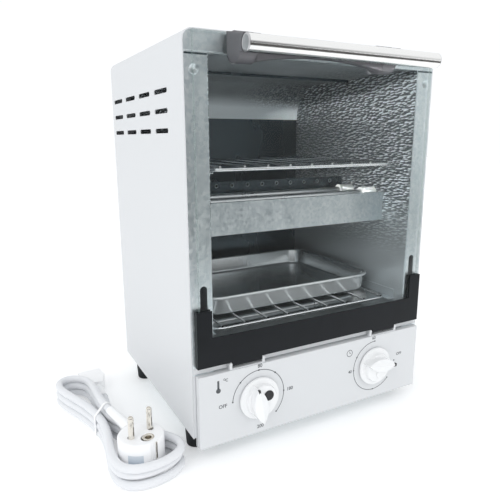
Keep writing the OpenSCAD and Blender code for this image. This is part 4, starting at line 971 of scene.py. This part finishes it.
for name, x, turn, half in (("temperature", -dial_x, -9, 0.9), ("timer", dial_x, 99, 1.6)):
    body = name + "_dial"
    knob_back = (to_frame.inverted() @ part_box(name + "_knob")[1]).y
    knob_place = to_frame @ Matrix.Translation((x, knob_back, dial_z)) @ upright
    turn_place = Matrix.Rotation(radians(-turn), 4, "Z") @ boat_shift
    work = turned([
        (0, 0), (skirt_r - 0.5, 0), (skirt_r, 0.5), (skirt_r, 2), (skirt_r - 0.3, 2.6), (skirt_r - 0.9, 3),
        (hub_r + 0.7, 3.15), (hub_r, 3.4), (hub_r - 0.4, 4), (hub_r - 0.7, hub_h - 1),
        (hub_r - 1.1, hub_h - 0.3), (hub_r - 1.8, hub_h), (0, hub_h),
    ], 72)
    boat = grip(length=34, width=13, low=2, side=13.2, crest=15.5)
    sharp = [e for e in boat.edges if e.calc_face_angle(0) > radians(40)]
    bmesh.ops.bevel(
        boat, geom=sharp, offset=0.9, segments=3, profile=0.5, affect="EDGES", material=-1,
        clamp_overlap=True,
    )
    boat.transform(turn_place)
    join(work, boat)
    knob = made(name + "_knob_moulding", work, knob_white, knob_place, 32)
    carries(knob, body, "knob_plastic", name + "_knob")
    # A small black block on the pointing end of the crest.
    dark_tip = bmesh.new()
    dark_tip_low = (-half, 8.9 + 2.6 * half, 13.6 - 1.8 * half)
    dark_tip_high = (half, 16.4 + 0.4 * half, 14.7 - 0.5 * half)
    block(dark_tip, dark_tip_low, dark_tip_high, 0.3)
    carries(made(name + "_knob_dark_tip", dark_tip, dark, knob_place @ turn_place), body, "black_plastic")


# Inside the front: the thermostat's brass probe, a thermal fuse, the wiring in silicone sleeves, and a
# white moulded block of terminals. The blades of the inlet at the back are brass too.
brass, shader, place = finish("brass", Metallic=1.0)
clouds = place.noise(90)
feed(shader, Base_Color=clouds.tint((0.6, 0.47, 0.24), (0.74, 0.6, 0.34)), Roughness=0.25 + 0.2 * clouds)
dress(brass, "brass", "temperature_probe", "thermal_fuse", "inlet_blades")
sleeve, shader, place = finish("wire_sleeve")
clouds = place.noise(200)
feed(shader, Base_Color=clouds.tint((0.36, 0.05, 0.04), (0.45, 0.08, 0.07)), Roughness=0.4 + 0.2 * clouds)
dress(sleeve, "wire_insulation", "wiring")
dress(moulded, "white_plastic", "terminal_block")


# Feet: tapered black rubber, moulded with a fine matt grain, each on one screw.
rubber, shader, place = finish("foot_rubber", Specular_IOR_Level=0.3)
clouds = place.noise(120, 3)
feed(
    shader,
    Base_Color=clouds.tint((0.003, 0.004, 0.005), (0.008, 0.01, 0.012)),
    Roughness=0.5 + 0.2 * clouds,
    Normal=place.noise(1200).bump(0.0002, 0.4, 0.001),
)
dress(rubber, "foot_rubber", "feet")
